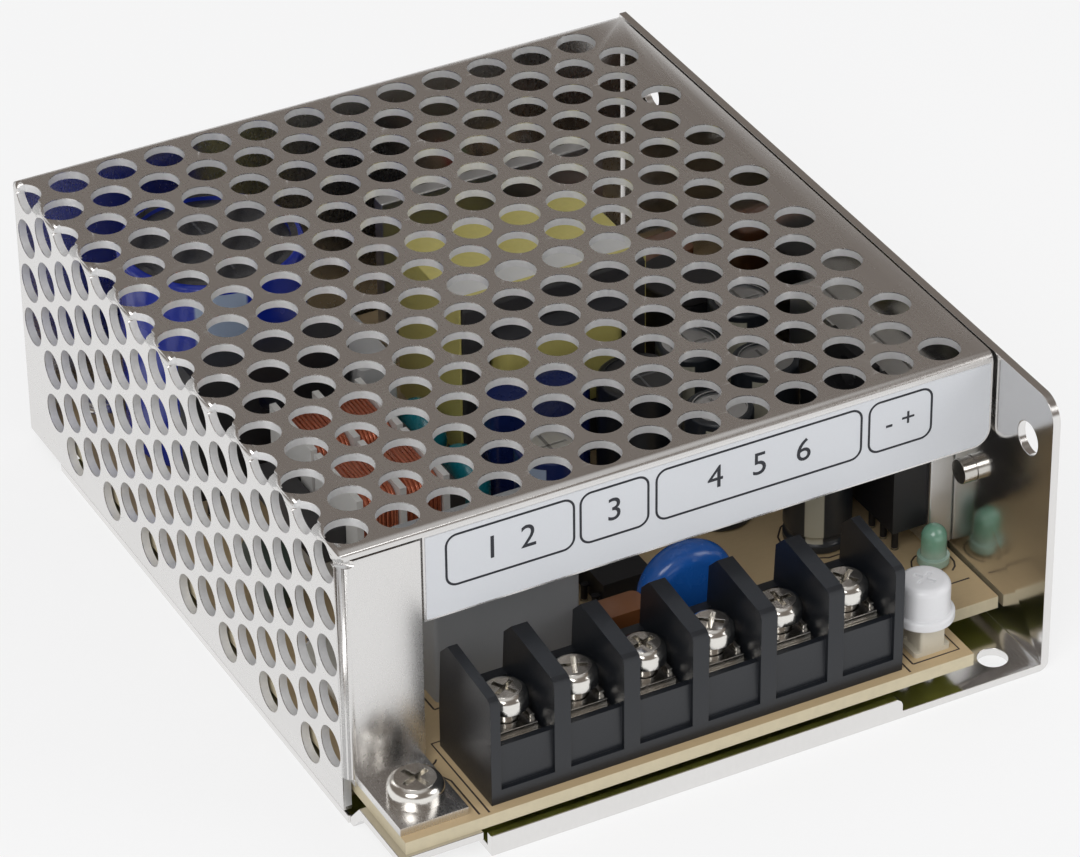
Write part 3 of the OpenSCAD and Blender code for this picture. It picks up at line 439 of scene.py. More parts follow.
def soften(node, material, width, segments=2, angle=32.0, rule=None):
    """Replaces a node by a copy of itself whose sharp edges are rounded off."""
    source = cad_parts[node]
    slot = source.data.materials[0].name.split(".")[0]
    work = bmesh.new()
    work.from_mesh(source.data)
    bmesh.ops.remove_doubles(work, verts=work.verts, dist=2e-6)
    bmesh.ops.dissolve_limit(work, angle_limit=math.radians(0.8), verts=work.verts, edges=work.edges)
    mesh = bpy.data.meshes.new(node + "_soft")
    work.to_mesh(mesh)
    work.free()
    mesh.polygons.foreach_set("use_smooth", [True] * len(mesh.polygons))
    mesh.set_sharp_from_angle(angle=math.radians(angle))
    seed = bpy.data.objects.new(node + "_seed", mesh)
    bpy.context.scene.collection.objects.link(seed)
    bevel = seed.modifiers.new("Bevel", "BEVEL")
    bevel.width = width
    bevel.segments = segments
    bevel.limit_method = "ANGLE"
    bevel.angle_limit = math.radians(angle)
    bevel.harden_normals = True
    bevel.use_clamp_overlap = True
    if rule is not None:
        weights = mesh.attributes.new("bevel_weight_edge", "FLOAT", "EDGE")
        spots = [vertex.co for vertex in mesh.vertices]
        weights.data.foreach_set(
            "value",
            [rule(spots[a], spots[b]) for a, b in (edge.vertices for edge in mesh.edges)],
        )
        bevel.limit_method = "WEIGHT"
    made = plain(seed, node + "_soft")
    bpy.data.objects.remove(seed)
    return settle(join_scene(node + "_soft", made, material), body_of(node), slot, (node,))


# ----------------------------------------------------------------- finishes


def steel(name, colour_value, roughness, grain=0.004, holes=None, cut=None):
    """Plated sheet steel with a fine grain, faint rolling marks and dull cut walls."""
    paint = Paint(name, Metallic=1.0)
    cloud = paint.noise(17.0, 3.0)
    fine = paint.noise(0.45, 3.0, 0.6)
    rolled = paint.noise(1.2, 2.0, 0.5, (0.35, 14.0, 1.0))
    face = paint.shades(colour_value, cloud * 0.6 + rolled * 0.4, 0.07)
    rough = cloud * 0.07 + rolled * 0.05 + fine * 0.04 + (roughness - 0.08)
    if holes is not None:
        walls = holes(paint)
        face = paint.mix(walls, face, paint.shades(cut, fine, 0.10))
        rough = rough + walls * 0.22
        paint.set(Metallic=1.0 - walls * 0.55)
    paint.set(Base_Color=face, Roughness=rough)
    paint.bump(fine * 0.6 + rolled * 0.4, grain)
    return paint.material


def punched(paint):
    """Marks the walls of the holes in the cover's top and side."""
    x, y, z = paint.x, paint.y, paint.z
    inside = (y > -37.2) * (y < 49.2)
    top = (paint.facing("Z") < 0.5) * (z > 34.95) * (z < 35.9) * (x > -40.7) * (x < 39.4) * inside
    side = (paint.facing("X") < 0.5) * (x > -40.9) * (x < -39.95) * (z > 2.0) * (z < 34.95) * inside
    return (top + side).ease(0.2, 0.8)


def plated(name, colour_value, roughness, stain=0.06):
    """Bright plated metal with turned grain and faint stains."""
    paint = Paint(name, Metallic=1.0)
    stains = paint.noise(1.4, 3.0)
    grain = paint.noise(0.22, 2.0, 0.6)
    paint.set(
        Base_Color=paint.shades(colour_value, stains, stain),
        Roughness=stains * 0.12 + grain * 0.06 + (roughness - 0.08),
    )
    paint.bump(grain, 0.006)
    return paint.material


def moulded(name, colour_value, roughness=0.42, grain=0.012, size=0.35, leads=None, coat=0.0, tone=0.10):
    """Moulded or dipped plastic with a fine texture; tinned leads below a height."""
    paint = Paint(name, Coat_Weight=coat, Coat_Roughness=0.12)
    cloud = paint.noise(5.0, 3.0)
    fine = paint.noise(size, 3.0, 0.6)
    face = paint.shades(colour_value, cloud * 0.6 + fine * 0.4, tone)
    rough = cloud * 0.12 + fine * 0.10 + (roughness - 0.11)
    if leads is not None:
        wire = paint.z < leads
        face = paint.mix(wire, face, TINNED)
        rough = rough * (1.0 - wire) + wire * 0.25
        paint.set(Metallic=wire)
    paint.set(Base_Color=face, Roughness=rough)
    paint.bump(fine, grain)
    return paint.material


def can(name, centres, sleeve, top, rim_height, stripe=None, stripe_turn=0.0, radius=4.0, roughness=0.32):
    """A can capacitor: shrunk sleeve with a stripe, bare pressed top with a vent cross whose grooves are tinted a
    fixed grey, painted shade on the bare tops.
    """
    paint = Paint(name, Coat_Weight=0.25, Coat_Roughness=0.15)
    x, y, z = paint.x, paint.y, paint.z
    far_x, far_y = x - centres[0][0], y - centres[0][1]
    for centre_x, centre_y in centres[1:]:
        next_x, next_y = x - centre_x, y - centre_y
        closer = (next_x * next_x + next_y * next_y) < (far_x * far_x + far_y * far_y)
        far_x = far_x + closer * (next_x - far_x)
        far_y = far_y + closer * (next_y - far_y)
    out = paint.math("SQRT", far_x * far_x + far_y * far_y)
    crown = (paint.facing("Z") > 0.5) * (out < radius - 0.75) * (z > rim_height - 1.2)
    cloud = paint.noise(4.0, 3.0)
    face = paint.shades(sleeve, cloud, 0.16)
    if stripe is not None:
        turn = paint.math("ARCTAN2", far_y, far_x) - stripe_turn
        band = (abs(turn).ease(0.30, 0.26)) * (z < rim_height - 1.0) * (z > 6.5)
        face = paint.mix(band, face, stripe)
    # The vent cross is a groove in the bump and a tint towards a fixed dark grey. On the bare aluminium tops that
    # tint is painted shade in the grooves; on the black tops it comes out as a lighter grey line.
    vent_groove_and_shade = (
        abs(far_x).ease(0.22, 0.12) + abs(far_y).ease(0.22, 0.12)
    ) * out.ease(radius * 0.62, radius * 0.55)
    metal = paint.shades(top, paint.noise(0.8, 3.0), 0.06)
    face = paint.mix(crown, face, paint.mix(vent_groove_and_shade * 0.55, metal, (0.16, 0.16, 0.17)))
    wire = (z < 5.0) * 1.0
    face = paint.mix(wire, face, TINNED)
    bare = crown.ease(0.0, 1.0) if top[0] > 0.3 else crown * 0.0
    paint.set(
        Base_Color=face,
        Metallic=(bare * 0.9 + wire).ease(0.0, 1.0),
        Roughness=cloud * 0.10 + (roughness - 0.05),
    )
    paint.bump(cloud * 0.3 - vent_groove_and_shade * crown, 0.12)
    return paint.material


def wound(name, colour_value, roughness=0.28):
    """Enamelled wire: a clear coat over copper, lighter and darker from turn to turn."""
    paint = Paint(name, Metallic=0.65, Coat_Weight=0.8, Coat_Roughness=0.12)
    turns = paint.noise(0.5, 2.0, 0.5, (1.0, 6.0, 6.0))
    cloud = paint.noise(4.0, 2.0)
    paint.set(
        Base_Color=paint.shades(colour_value, turns * 0.7 + cloud * 0.3, 0.35),
        Roughness=turns * 0.15 + (roughness - 0.07),
    )
    return paint.material


def wrapped(name, colour_value, sheet, blank=None):
    """Adhesive tape in overlapping turns, with faint edges and a satin film."""
    paint = Paint(name, Coat_Weight=0.55, Coat_Roughness=0.22)
    x, y, z = paint.x, paint.y, paint.z
    cloud = paint.noise(7.0, 3.0)
    turns = paint.noise(0.7, 1.0, 0.5, (1.0, 1.0, 0.08) if sheet == "z" else (0.08, 1.0, 1.0))
    face = paint.shades(colour_value, cloud * 0.5 + turns * 0.5, 0.12)
    if blank is not None:
        strip = (y > blank[0]) * (y < blank[1]) * (paint.facing("Z") > 0.5)
        face = paint.mix(strip, face, paint.shades((0.80, 0.80, 0.79), cloud, 0.05))
    paint.set(Base_Color=face, Roughness=cloud * 0.15 + 0.28)
    paint.bump(turns + paint.noise(2.2, 2.0) * 0.8, 0.05)
    return paint.material


def board_finish(colours):
    """Resin board: bare pressed top, coated underside with tracks, sawn pale edge."""
    paint = Paint("circuit board")
    up = paint.axis("Normal", "Z")
    top, under = up > 0.5, up < -0.5
    fibre = paint.noise(1.1, 3.0, 0.6, (1.0, 0.35, 1.0))
    cloud = paint.noise(14.0, 3.0)
    bare = paint.shades(colours.board, fibre * 0.5 + cloud * 0.5, 0.10)
    x, y = paint.x, paint.y
    bend = paint.noise(9.0, 0.0, 0.5) * 9.0
    tracks = abs(
        ((x * 0.35 + bend) % 3.0) - 1.5
    ).ease(0.9, 1.05) * 0.35 + abs(((y * 0.3 + bend) % 3.4) - 1.7).ease(1.15, 1.3) * 0.35
    coat = paint.mix(tracks, colours.mask, tuple(min(1.0, part * 1.5) for part in colours.mask))
    edge = paint.shades(colours.fibre, fibre, 0.10)
    face = paint.mix(top, paint.mix(under, edge, coat), bare)
    paint.set(Base_Color=face, Roughness=0.5 - under * 0.2 + cloud * 0.08)
    paint.bump(fibre * 0.4 + tracks * under, 0.02)
    return paint.material


# ------------------------------------------------------------- node builders


def turns_tree():
    """Rows of rounded wire turns along X."""
    tree = Growth(
        "wire turns",
        [
            ("Across", "Float"),
            ("Tall", "Float"),
            ("Round", "Float"),
            ("Wire", "Float"),
            ("Pitch", "Float"),
            ("Turns", "Int"),
            ("Start", "Vector"),
            ("Seed", "Int"),
        ],
    )
    take = tree.take
    flat = tree.node(
        "GeometryNodeCurvePrimitiveQuadrilateral",
        None,
        {"Width": take("Across"), "Height": take("Tall")},
    )
    soft = tree.node(
        "GeometryNodeFilletCurve",
        {"mode": "POLY"},
        {"Curve": flat, "Radius": take("Round"), "Count": 5},
    )
    upright = tree.node(
        "GeometryNodeTransform",
        None,
        {"Geometry": soft, "Rotation": (math.pi / 2, 0.0, math.pi / 2)},
    )
    section = tree.node(
        "GeometryNodeCurvePrimitiveCircle",
        None,
        {"Resolution": 8, "Radius": take("Wire") * 0.5},
    )
    turn = tree.node("GeometryNodeCurveToMesh", None, {"Curve": upright, "Profile Curve": section})
    step = tree.node("ShaderNodeCombineXYZ", None, {"X": take("Pitch")})
    row = tree.node(
        "GeometryNodeMeshLine",
        None,
        {"Count": take("Turns"), "Start Location": take("Start"), "Offset": step},
    )
    lean = tree.node(
        "FunctionNodeRandomValue",
        {"data_type": "FLOAT_VECTOR"},
        {0: (-0.012, -0.012, -0.012), 1: (0.012, 0.012, 0.012), "Seed": take("Seed")},
    )
    laid = tree.node(
        "GeometryNodeInstanceOnPoints",
        None,
        {"Points": row, "Instance": turn, "Rotation": lean},
    )
    return tree.close(tree.node("GeometryNodeSetShadeSmooth", None, {"Geometry": laid}))


def outline_tree():
    """A thin rounded outline on a face that looks towards -Y."""
    tree = Growth(
        "printed outline",
        [
            ("Width", "Float"),
            ("Height", "Float"),
            ("Round", "Float"),
            ("Line", "Float"),
            ("Film", "Float"),
            ("Middle", "Vector"),
        ],
    )
    take = tree.take
    flat = tree.node(
        "GeometryNodeCurvePrimitiveQuadrilateral",
        None,
        {"Width": take("Width"), "Height": take("Height")},
    )
    soft = tree.node(
        "GeometryNodeFilletCurve",
        {"mode": "POLY"},
        {"Curve": flat, "Radius": take("Round"), "Count": 7},
    )
    pen = tree.node(
        "GeometryNodeCurvePrimitiveQuadrilateral",
        None,
        {"Width": take("Line"), "Height": take("Film")},
    )
    drawn = tree.node("GeometryNodeCurveToMesh", None, {"Curve": soft, "Profile Curve": pen})
    up = tree.node("GeometryNodeTransform", None, {"Geometry": drawn, "Rotation": (math.pi / 2, 0.0, 0.0)})
    return tree.close(
        tree.node("GeometryNodeTransform", None, {"Geometry": up, "Translation": take("Middle")})
    )


def joint_tree():
    """A solder cone hanging below each point of the base mesh."""
    tree = Growth("solder joints", [("Width", "Float"), ("Depth", "Float"), ("Seed", "Int")])
    take = tree.take
    cone = tree.node(
        "GeometryNodeMeshCone",
        None,
        {
            "Vertices": 12,
            "Side Segments": 3,
            "Radius Top": take("Width") * 0.16,
            "Radius Bottom": take("Width") * 0.5,
            "Depth": take("Depth"),
        },
    )
    over = tree.node("GeometryNodeTransform", None, {"Geometry": cone, "Rotation": (math.pi, 0.0, 0.0)})
    size = tree.node(
        "FunctionNodeRandomValue",
        {"data_type": "FLOAT"},
        {2: 0.8, 3: 1.15, "Seed": take("Seed")},
        out=1,
    )
    laid = tree.node(
        "GeometryNodeInstanceOnPoints",
        None,
        {"Points": take("Base"), "Instance": over, "Scale": size},
    )
    return tree.close(tree.node("GeometryNodeSetShadeSmooth", None, {"Geometry": laid}))


def silk_tree():
    """Printed lines that follow the edges of the base mesh."""
    tree = Growth("board print", [("Line", "Float"), ("Film", "Float")])
    path = tree.node("GeometryNodeMeshToCurve", None, {0: tree.take("Base")})
    pen = tree.node(
        "GeometryNodeCurvePrimitiveQuadrilateral",
        None,
        {"Width": tree.take("Line"), "Height": tree.take("Film")},
    )
    return tree.close(tree.node("GeometryNodeCurveToMesh", None, {"Curve": path, "Profile Curve": pen}))


def written(name, text, height, middle, material, depth=0.02):
    """Plain characters on a face that looks towards -Y, as one mesh."""
    font = bpy.data.curves.new(name, "FONT")
    font.body = text
    font.size = height * 1.38 * MM
    font.align_x = "CENTER"
    font.align_y = "CENTER"
    font.extrude = depth * MM
    font.resolution_u = 4
    seed = bpy.data.objects.new(name + "_seed", font)
    bpy.context.scene.collection.objects.link(seed)
    mesh = plain(seed, name)
    bpy.data.objects.remove(seed)
    mesh.transform(Matrix.Translation(Vector(middle) * MM) @ Matrix.Rotation(math.pi / 2, 4, "X"))
    return join_scene(name, mesh, material)


def strokes(name, paths):
    """A mesh of edges only, for lines to follow; points in millimetres."""
    spots, edges = [], []
    for path in paths:
        first = len(spots)
        spots += [tuple(part * MM for part in spot) for spot in path]
        edges += [(first + step, first + step + 1) for step in range(len(path) - 1)]
    mesh = bpy.data.meshes.new(name)
    mesh.from_pydata(spots, edges, [])
    return mesh


# ---------------------------------------------------------------- operators


class SUPPLY_OT_stage(bpy.types.Operator):
    """Sets up the floor, the lamps, the surroundings and the camera."""

    bl_idname = "supply.stage"
    bl_label = "Stage"

    def execute(self, context):
        studio = context.scene.supply_stage
        scene = context.scene
        scene.view_settings.view_transform = "Standard"
        data = bpy.data.cameras.new("camera")
        data.sensor_width, data.lens, data.clip_start, data.clip_end = 36.0, CAMERA_LENS, 0.01, 20.0
        camera = bpy.data.objects.new("camera", data)
        turned = Matrix(CAMERA_AXES).transposed().to_4x4()
        camera.matrix_world = Matrix.Translation(CAMERA_PLACE) @ turned
        scene.collection.objects.link(camera)
        scene.camera = camera
        for name, power, place, size in (
            ("key lamp", studio.key, KEY_PLACE, KEY_SIZE),
            ("fill lamp", studio.fill, FILL_PLACE, FILL_SIZE),
        ):
            lamp = bpy.data.lights.new(name, "AREA")
            lamp.energy, lamp.shape, lamp.size = power, "DISK", size
            holder = bpy.data.objects.new(name, lamp)
            holder.location = place
            holder.rotation_euler = (-Vector(place)).to_track_quat("-Z", "Y").to_euler()
            scene.collection.objects.link(holder)
        world = bpy.data.worlds.new("room")
        world.use_nodes = True
        scene.world = world
        room = Nodes(world.node_tree)
        seen_by_camera, seen_by_shine = self.rays(room)
        look = room.node("ShaderNodeTexCoord", out="Generated")
        height = Val(room, room.node("ShaderNodeSeparateXYZ", None, {0: look}).socket.node.outputs[2])
        band = height.ease(0.10, 0.30) * (1.0 - height.ease(0.86, 0.99) * 0.55)
        dome = room.mix(band, (1.0, 1.0, 1.0), studio.dome)
        shine = seen_by_shine > 0.5
        level = (studio.ambient, studio.ambient, studio.ambient * 1.02)
        seen = room.mix(seen_by_camera, room.mix(shine, level, dome), (1.0, 1.0, 1.0))
        light = room.node("ShaderNodeBackground", None, {"Color": seen, "Strength": 1.0})
        self.out(room, light, "ShaderNodeOutputWorld")
        floor_mesh = bpy.data.meshes.new("floor")
        turns = ((-1, -1), (1, -1), (1, 1), (-1, 1))
        corners = [(across * FLOOR_REACH, along * FLOOR_REACH, 0.0) for across, along in turns]
        floor_mesh.from_pydata(corners, [], [(0, 1, 2, 3)])
        material = bpy.data.materials.new("floor")
        material.use_nodes = True
        ground = Nodes(material.node_tree)
        seen_by_camera, seen_by_shine = self.rays(ground)
        share = seen_by_camera * studio.floor_white + seen_by_shine * 0.9
        matt = ground.node("ShaderNodeBsdfDiffuse", None, {"Color": (0.92, 0.92, 0.92)})
        glow = ground.node("ShaderNodeEmission", None, {"Color": (1.0, 1.0, 1.0), "Strength": 1.0})
        self.out(
            ground,
            ground.node("ShaderNodeMixShader", None, {0: share, 1: matt, 2: glow}),
            "ShaderNodeOutputMaterial",
        )
        floor = join_scene("floor", floor_mesh, material)
        return {"FINISHED"}

    @staticmethod
    def rays(nodes):
        """Which rays come from the camera, and which from shine or glass."""
        made = nodes.node("ShaderNodeLightPath").socket.node.outputs
        camera, glossy, through = (Val(nodes, made[kind]) for kind in RAYS)
        return camera, glossy + through

    @staticmethod
    def out(nodes, shader, kind):
        end = nodes.tree.nodes.new(kind)
        nodes.tree.links.new(shader.socket, end.inputs[0])


class SUPPLY_OT_case(bpy.types.Operator):
    """Finishes the punched cover, the bright base sheet and the film under the board."""

    bl_idname = "supply.case"
    bl_label = "Case"

    def execute(self, context):
        sizes = context.scene.supply_sizes
        colours = context.scene.supply_colours
        cover = steel("cover steel", colours.steel, 0.27, 0.004, punched, colours.cut_steel)
        high, left, near = CASE_TOP * MM, CAD_BOX[0].x, 0.02 * MM

        def outside(first, second):
            """The rims on the top and side faces and the folded edges."""
            on_top = abs(first.z - high) < near and abs(second.z - high) < near
            on_side = abs(first.x - left) < near and abs(second.x - left) < near
            front = min(first.y, second.y) < COVER_FRONT * MM
            return 1.0 if on_top or on_side or front else 0.0

        soften("cover", cover, sizes.punch_edge, 2, 40.0, outside)
        soften(
            "chassis",
            steel("base steel", tuple(part * 1.04 for part in colours.steel), 0.15, 0.002),
            sizes.sheet_edge,
        )
        dress("insulation_film", moulded("film", (0.42, 0.36, 0.20), 0.3, 0.003, 2.0))
        return {"FINISHED"}


class SUPPLY_OT_label(bpy.types.Operator):
    """Finishes the front label and prints plain outlines and numbers on it."""

    bl_idname = "supply.label"
    bl_label = "Label"

    def execute(self, context):
        sizes = context.scene.supply_sizes
        colours = context.scene.supply_colours
        paper = Paint("label face", Coat_Weight=0.15, Coat_Roughness=0.35)
        cloud, fine = paper.noise(9.0, 2.0), paper.noise(0.3, 3.0, 0.6)
        paper.set(
            Base_Color=paper.shades(colours.label, cloud * 0.5 + fine * 0.5, 0.035),
            Roughness=fine * 0.12 + 0.42,
        )
        paper.bump(fine, 0.004)
        dress("front_label", paper.material)
        ink = moulded("printing ink", colours.ink, 0.45, 0.002, 0.2)
        outline = outline_tree()
        middle_z = (LABEL_BOX_LOW + LABEL_BOX_HIGH) / 2
        for place, (left, right, text) in enumerate(LABEL_BOXES, 1):
            middle_x = (left + right) / 2
            made = outline.grow(
                f"label_outline_{place}",
                {
                    "Width": (right - left - 0.3) * MM,
                    "Height": (LABEL_BOX_HIGH - LABEL_BOX_LOW) * MM,
                    "Round": sizes.mark_round,
                    "Line": sizes.mark_line,
                    "Film": FILM * MM,
                    "Middle": (middle_x * MM, (LABEL_FACE - 0.008) * MM, middle_z * MM),
                },
                ink,
            )
            settle(made, "case", "label")
            tall = NUMBER_HEIGHT if text[0].isdigit() else SIGN_HEIGHT
            marks = written(f"label_marks_{place}", text, tall, (middle_x, LABEL_FACE - 0.012, middle_z), ink)
            settle(marks, "case", "label")
        return {"FINISHED"}


class SUPPLY_OT_fasteners(bpy.types.Operator):
    """Finishes the case screws, the board screws and their spacers."""

    bl_idname = "supply.fasteners"
    bl_label = "Fasteners"

    def execute(self, context):
        sizes = context.scene.supply_sizes
        colours = context.scene.supply_colours
        bright = plated("screw plating", colours.nickel, 0.17)
        soften("cover_screw", bright, sizes.screw_edge * 1.3, 3)
        soften("side_plug_screw", bright, sizes.screw_edge)
        soften("board_screws", bright, sizes.screw_edge)
        dress("board_spacers", plated("spacer plating", colours.steel, 0.24))
        return {"FINISHED"}


class SUPPLY_OT_board(bpy.types.Operator):
    """Finishes the board, prints its lines and hangs solder joints under it."""

    bl_idname = "supply.board"
    bl_label = "Board"

    def execute(self, context):
        sizes = context.scene.supply_sizes
        colours = context.scene.supply_colours
        studio = context.scene.supply_stage
        dress("circuit_board", board_finish(colours))
        top = BOARD_TOP + 0.01

        def line(*spots):
            return [(x, y, top) for x, y in spots]

        def arc(x, y, radius, start, end, steps=14):
            angles = [math.radians(start + (end - start) * step / steps) for step in range(steps + 1)]
            return [(x + radius * math.cos(angle), y + radius * math.sin(angle), top) for angle in angles]

        paths = [
            line((-29.3, -48.4), (-29.3, -34.6), (23.4, -34.6), (23.4, -48.4)),
            line((-30.4, -48.2), (-30.4, -41.5), (-31.4, -39.4)),
            arc(-31.4, -36.6, 1.5, 60, 330),
            line((24.4, -47.3), (30.4, -47.3), (30.4, -41.3), (24.4, -41.3), (24.4, -47.3)),
            arc(36.4, -31.9, 2.5, -60, 250),
            line((33.2, -40.0), (33.2, -36.2), (38.6, -36.2)),
            arc(27.6, -20.7, 4.5, 0, 360),
            arc(5.0, -30.0, 6.6, 200, 340),
            line((-26.2, -29.2), (-26.2, -16.6), (-6.6, -16.6), (-6.6, -29.2), (-26.2, -29.2)),
        ]
        printed = moulded("board ink", (0.05, 0.035, 0.03), 0.6, 0.002, 0.3)
        made = silk_tree().grow(
            "board_print",
            {"Line": sizes.silk_line, "Film": FILM * MM},
            printed,
            strokes("board_paths", paths),
        )
        settle(made, "case", "board")
        grid, apart = 1.6, 1.9
        spots = []
        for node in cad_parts:
            if abs(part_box(node)[0].z / MM - LEAD_TIP) > 0.02 or node == "transformer_bobbin":
                continue
            ends = [
                v.co / (MM * grid)
                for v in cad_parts[node].data.vertices if v.co.z < (LEAD_TIP + 0.05) * MM
            ]
            kept = []
            for cell in sorted({(round(end.x), round(end.y)) for end in ends}):
                spot = (cell[0] * grid, cell[1] * grid)
                if all(math.dist(spot, other) > apart for other in kept):
                    kept.append(spot)
            spots += [(x * MM, y * MM, 3.1 * MM) for x, y in kept]
        points = bpy.data.meshes.new("joint_points")
        points.from_pydata(spots, [], [])
        solder = plated("solder", (0.62, 0.62, 0.64), 0.26)
        made = joint_tree().grow(
            "solder_joints",
            {"Width": sizes.joint_width, "Depth": 0.8 * MM, "Seed": studio.seed},
            solder,
            points,
        )
        settle(made, "case", "contact_metal")
        return {"FINISHED"}


class SUPPLY_OT_terminals(bpy.types.Operator):
    """Finishes the barrier block, its contacts, washers and six screws."""

    bl_idname = "supply.terminals"
    bl_label = "Terminals"

    def execute(self, context):
        sizes = context.scene.supply_sizes
        colours = context.scene.supply_colours
        soften(
            "terminal_housing",
            moulded("block plastic", colours.block, 0.36, 0.012, 0.3, tone=0.2),
            sizes.block_edge,
            3,
        )
        soften("terminal_contacts", plated("contact plating", colours.nickel, 0.20), sizes.plate_edge)
        washer = plated("washer plating", colours.nickel, 0.18)
        screw = plated("terminal screw plating", tuple(part * 0.97 for part in colours.nickel), 0.15)
        for way in SCREWS:
            soften(f"clamp_washer_{way}", washer, sizes.plate_edge)
            soften(f"terminal_screw_{way}", screw, sizes.screw_edge, 3)
        return {"FINISHED"}


class SUPPLY_OT_trimmer(bpy.types.Operator):
    """Finishes the adjuster's body and its round knob."""

    bl_idname = "supply.trimmer"
    bl_label = "Trimmer"

    def execute(self, context):
        sizes = context.scene.supply_sizes
        colours = context.scene.supply_colours
        soften(
            "trimmer_body",
            moulded("trimmer body", colours.pedestal, 0.35, 0.01, leads=LEAD_TOP),
            0.18 * MM,
        )
        knob = moulded("knob plastic", colours.knob, 0.34, 0.006, 0.5, coat=0.3, tone=0.04)
        soften("trimmer_knob", knob, sizes.knob_edge, 3)
        return {"FINISHED"}


class SUPPLY_OT_lamp(bpy.types.Operator):
    """Finishes the indicator lamp as cast translucent resin."""

    bl_idname = "supply.lamp"
    bl_label = "Indicator lamp"

    def execute(self, context):
        colours = context.scene.supply_colours
        paint = Paint("lamp resin", IOR=1.5, Transmission_Weight=0.35, Coat_Weight=0.5, Coat_Roughness=0.08)
        z = paint.z
        cloud = paint.noise(0.9, 2.0)
        base = paint.mix(z.ease(6.8, 8.6), (0.46, 0.66, 0.54), colours.lamp)
        wire = z < 5.5
        paint.set(
            Base_Color=paint.mix(wire, paint.mix(cloud * 0.3, base, (0.70, 0.85, 0.76)), TINNED),
            Roughness=cloud * 0.1 + 0.14,
            Metallic=wire,
        )
        soften("indicator_lamp", paint.material, 0.12 * MM)
        return {"FINISHED"}


class SUPPLY_OT_mains_parts(bpy.types.Operator):
    """Finishes the fuse, the thermistor and the boxed and dipped mains parts."""

    bl_idname = "supply.mains_parts"
    bl_label = "Mains parts"

    def execute(self, context):
        sizes = context.scene.supply_sizes
        colours = context.scene.supply_colours
        box, disc = sizes.box_edge, sizes.disc_edge
        # Rounding and its steps; then name, colour, roughness, grain and its size, leads, coat, tone.
        for node, width, steps, look in (
            ("interference_capacitor", box, 3, ("grey case", colours.grey_box, 0.4, 0.01, 0.4, LEAD_TOP, 0.0, 0.05)),
            ("clamp_capacitor", box, 3, ("pale case", (0.50, 0.50, 0.50), 0.4, 0.01, 0.35, LEAD_TOP)),
            ("surge_absorber", disc, 4, ("blue dip", colours.disc, 0.26, 0.03, 1.6, 5.3, 0.6, 0.12)),
            ("safety_capacitors", disc, 4, ("teal dip", colours.teal, 0.28, 0.03, 1.4, 6.0, 0.5)),
            ("bypass_capacitor", box, 3, ("brown case", colours.brown, 0.32, 0.02, 1.0, LEAD_TOP, 0.4)),
            ("snubber_capacitor", box, 3, ("brown dip", colours.brown, 0.3, 0.02, 1.0, LEAD_TOP, 0.4)),
            ("inrush_thermistor", disc, 3, ("thermistor coat", (0.020, 0.035, 0.024), 0.45, 0.03, 0.9, 6.0)),
        ):
            soften(node, moulded(*look), width, steps)
        tube = Paint("fuse tube", Coat_Weight=0.6, Coat_Roughness=0.1)
        caps = (abs(tube.y - FUSE_MIDDLE) > 5.2) * (tube.z > 5.2)
        wire = (caps + (tube.z < 5.2)).ease(0.1, 0.9)
        grain = tube.noise(0.6, 2.0)
        tube.set(
            Base_Color=tube.mix(wire, tube.shades((0.46, 0.44, 0.38), grain, 0.08), (0.72, 0.72, 0.72)),
            Metallic=wire,
            Roughness=grain * 0.1 + 0.2,
        )
        soften("fuse", tube.material, 0.2 * MM)
        return {"FINISHED"}


class SUPPLY_OT_line_choke(bpy.types.Operator):
    """Finishes the line choke and lays its wire turn by turn."""

    bl_idname = "supply.line_choke"
    bl_label = "Line choke"

    def execute(self, context):
        sizes = context.scene.supply_sizes
        colours = context.scene.supply_colours
        studio = context.scene.supply_stage
        soften("line_choke_core", moulded("choke ferrite", colours.ferrite, 0.5, 0.02, 0.3), sizes.core_edge)
        soften(
            "line_choke_bobbin",
            moulded("choke bobbin", colours.bobbin, 0.42, 0.01, leads=LEAD_TOP, tone=0.05),
            0.2 * MM,
        )
        copper = wound("copper turns", colours.copper)
        dress("line_choke_windings", copper)
        low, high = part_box("line_choke_windings")
        tree = turns_tree()
        wire = sizes.choke_wire
        middle = (low.z + high.z) / 2
        for number, (start, side) in enumerate(CHOKE_SECTIONS, 1):
            made = tree.grow(
                f"choke_turns_{number}",
                {
                    "Across": CHOKE_ACROSS * MM,
                    "Tall": high.z - low.z,
                    "Round": CHOKE_ROUND * MM,
                    "Wire": wire,
                    "Pitch": wire,
                    "Turns": CHOKE_TURNS,
                    "Start": (start * MM, side * MM, middle),
                    "Seed": studio.seed + number,
                },
                copper,
            )
            settle(made, "case", "copper")
        return {"FINISHED"}


class SUPPLY_OT_capacitors(bpy.types.Operator):
    """Finishes every can and dipped capacitor in the middle of the board."""

    bl_idname = "supply.capacitors"
    bl_label = "Capacitors"

    def execute(self, context):
        sizes = context.scene.supply_sizes
        colours = context.scene.supply_colours
        metal, black = colours.aluminium, (0.014, 0.015, 0.018)
        dress(
            "mains_capacitor",
            can(
                "mains can",
                [MAINS_CAN],
                colours.sleeve,
                (0.03, 0.03, 0.035),
                31.1,
                colours.stripe,
                -1.9,
                11.0,
                0.26,
            ),
        )
        dress(
            "output_capacitors",
            can("output cans", OUTPUT_CANS, (0.02, 0.024, 0.03), metal, 20.1, (0.52, 0.50, 0.40), -2.2, 4.0),
        )
        dress(
            "storage_capacitor",
            can(
                "storage can",
                [STORAGE_CAN],
                black,
                (0.03, 0.03, 0.032),
                20.1,
                (0.35, 0.35, 0.36),
                -1.0,
                5.0,
            ),
        )
        dress(
            "supply_capacitor",
            can("supply can", [SUPPLY_CAN], colours.navy, metal, 18.1, colours.stripe, -2.4, 4.0),
        )
        soften(
            "filter_capacitor",
            moulded("navy dip", colours.navy, 0.28, 0.02, 1.2, leads=LEAD_TOP, coat=0.5),
            sizes.box_edge * 1.4,
            3,
        )
        return {"FINISHED"}


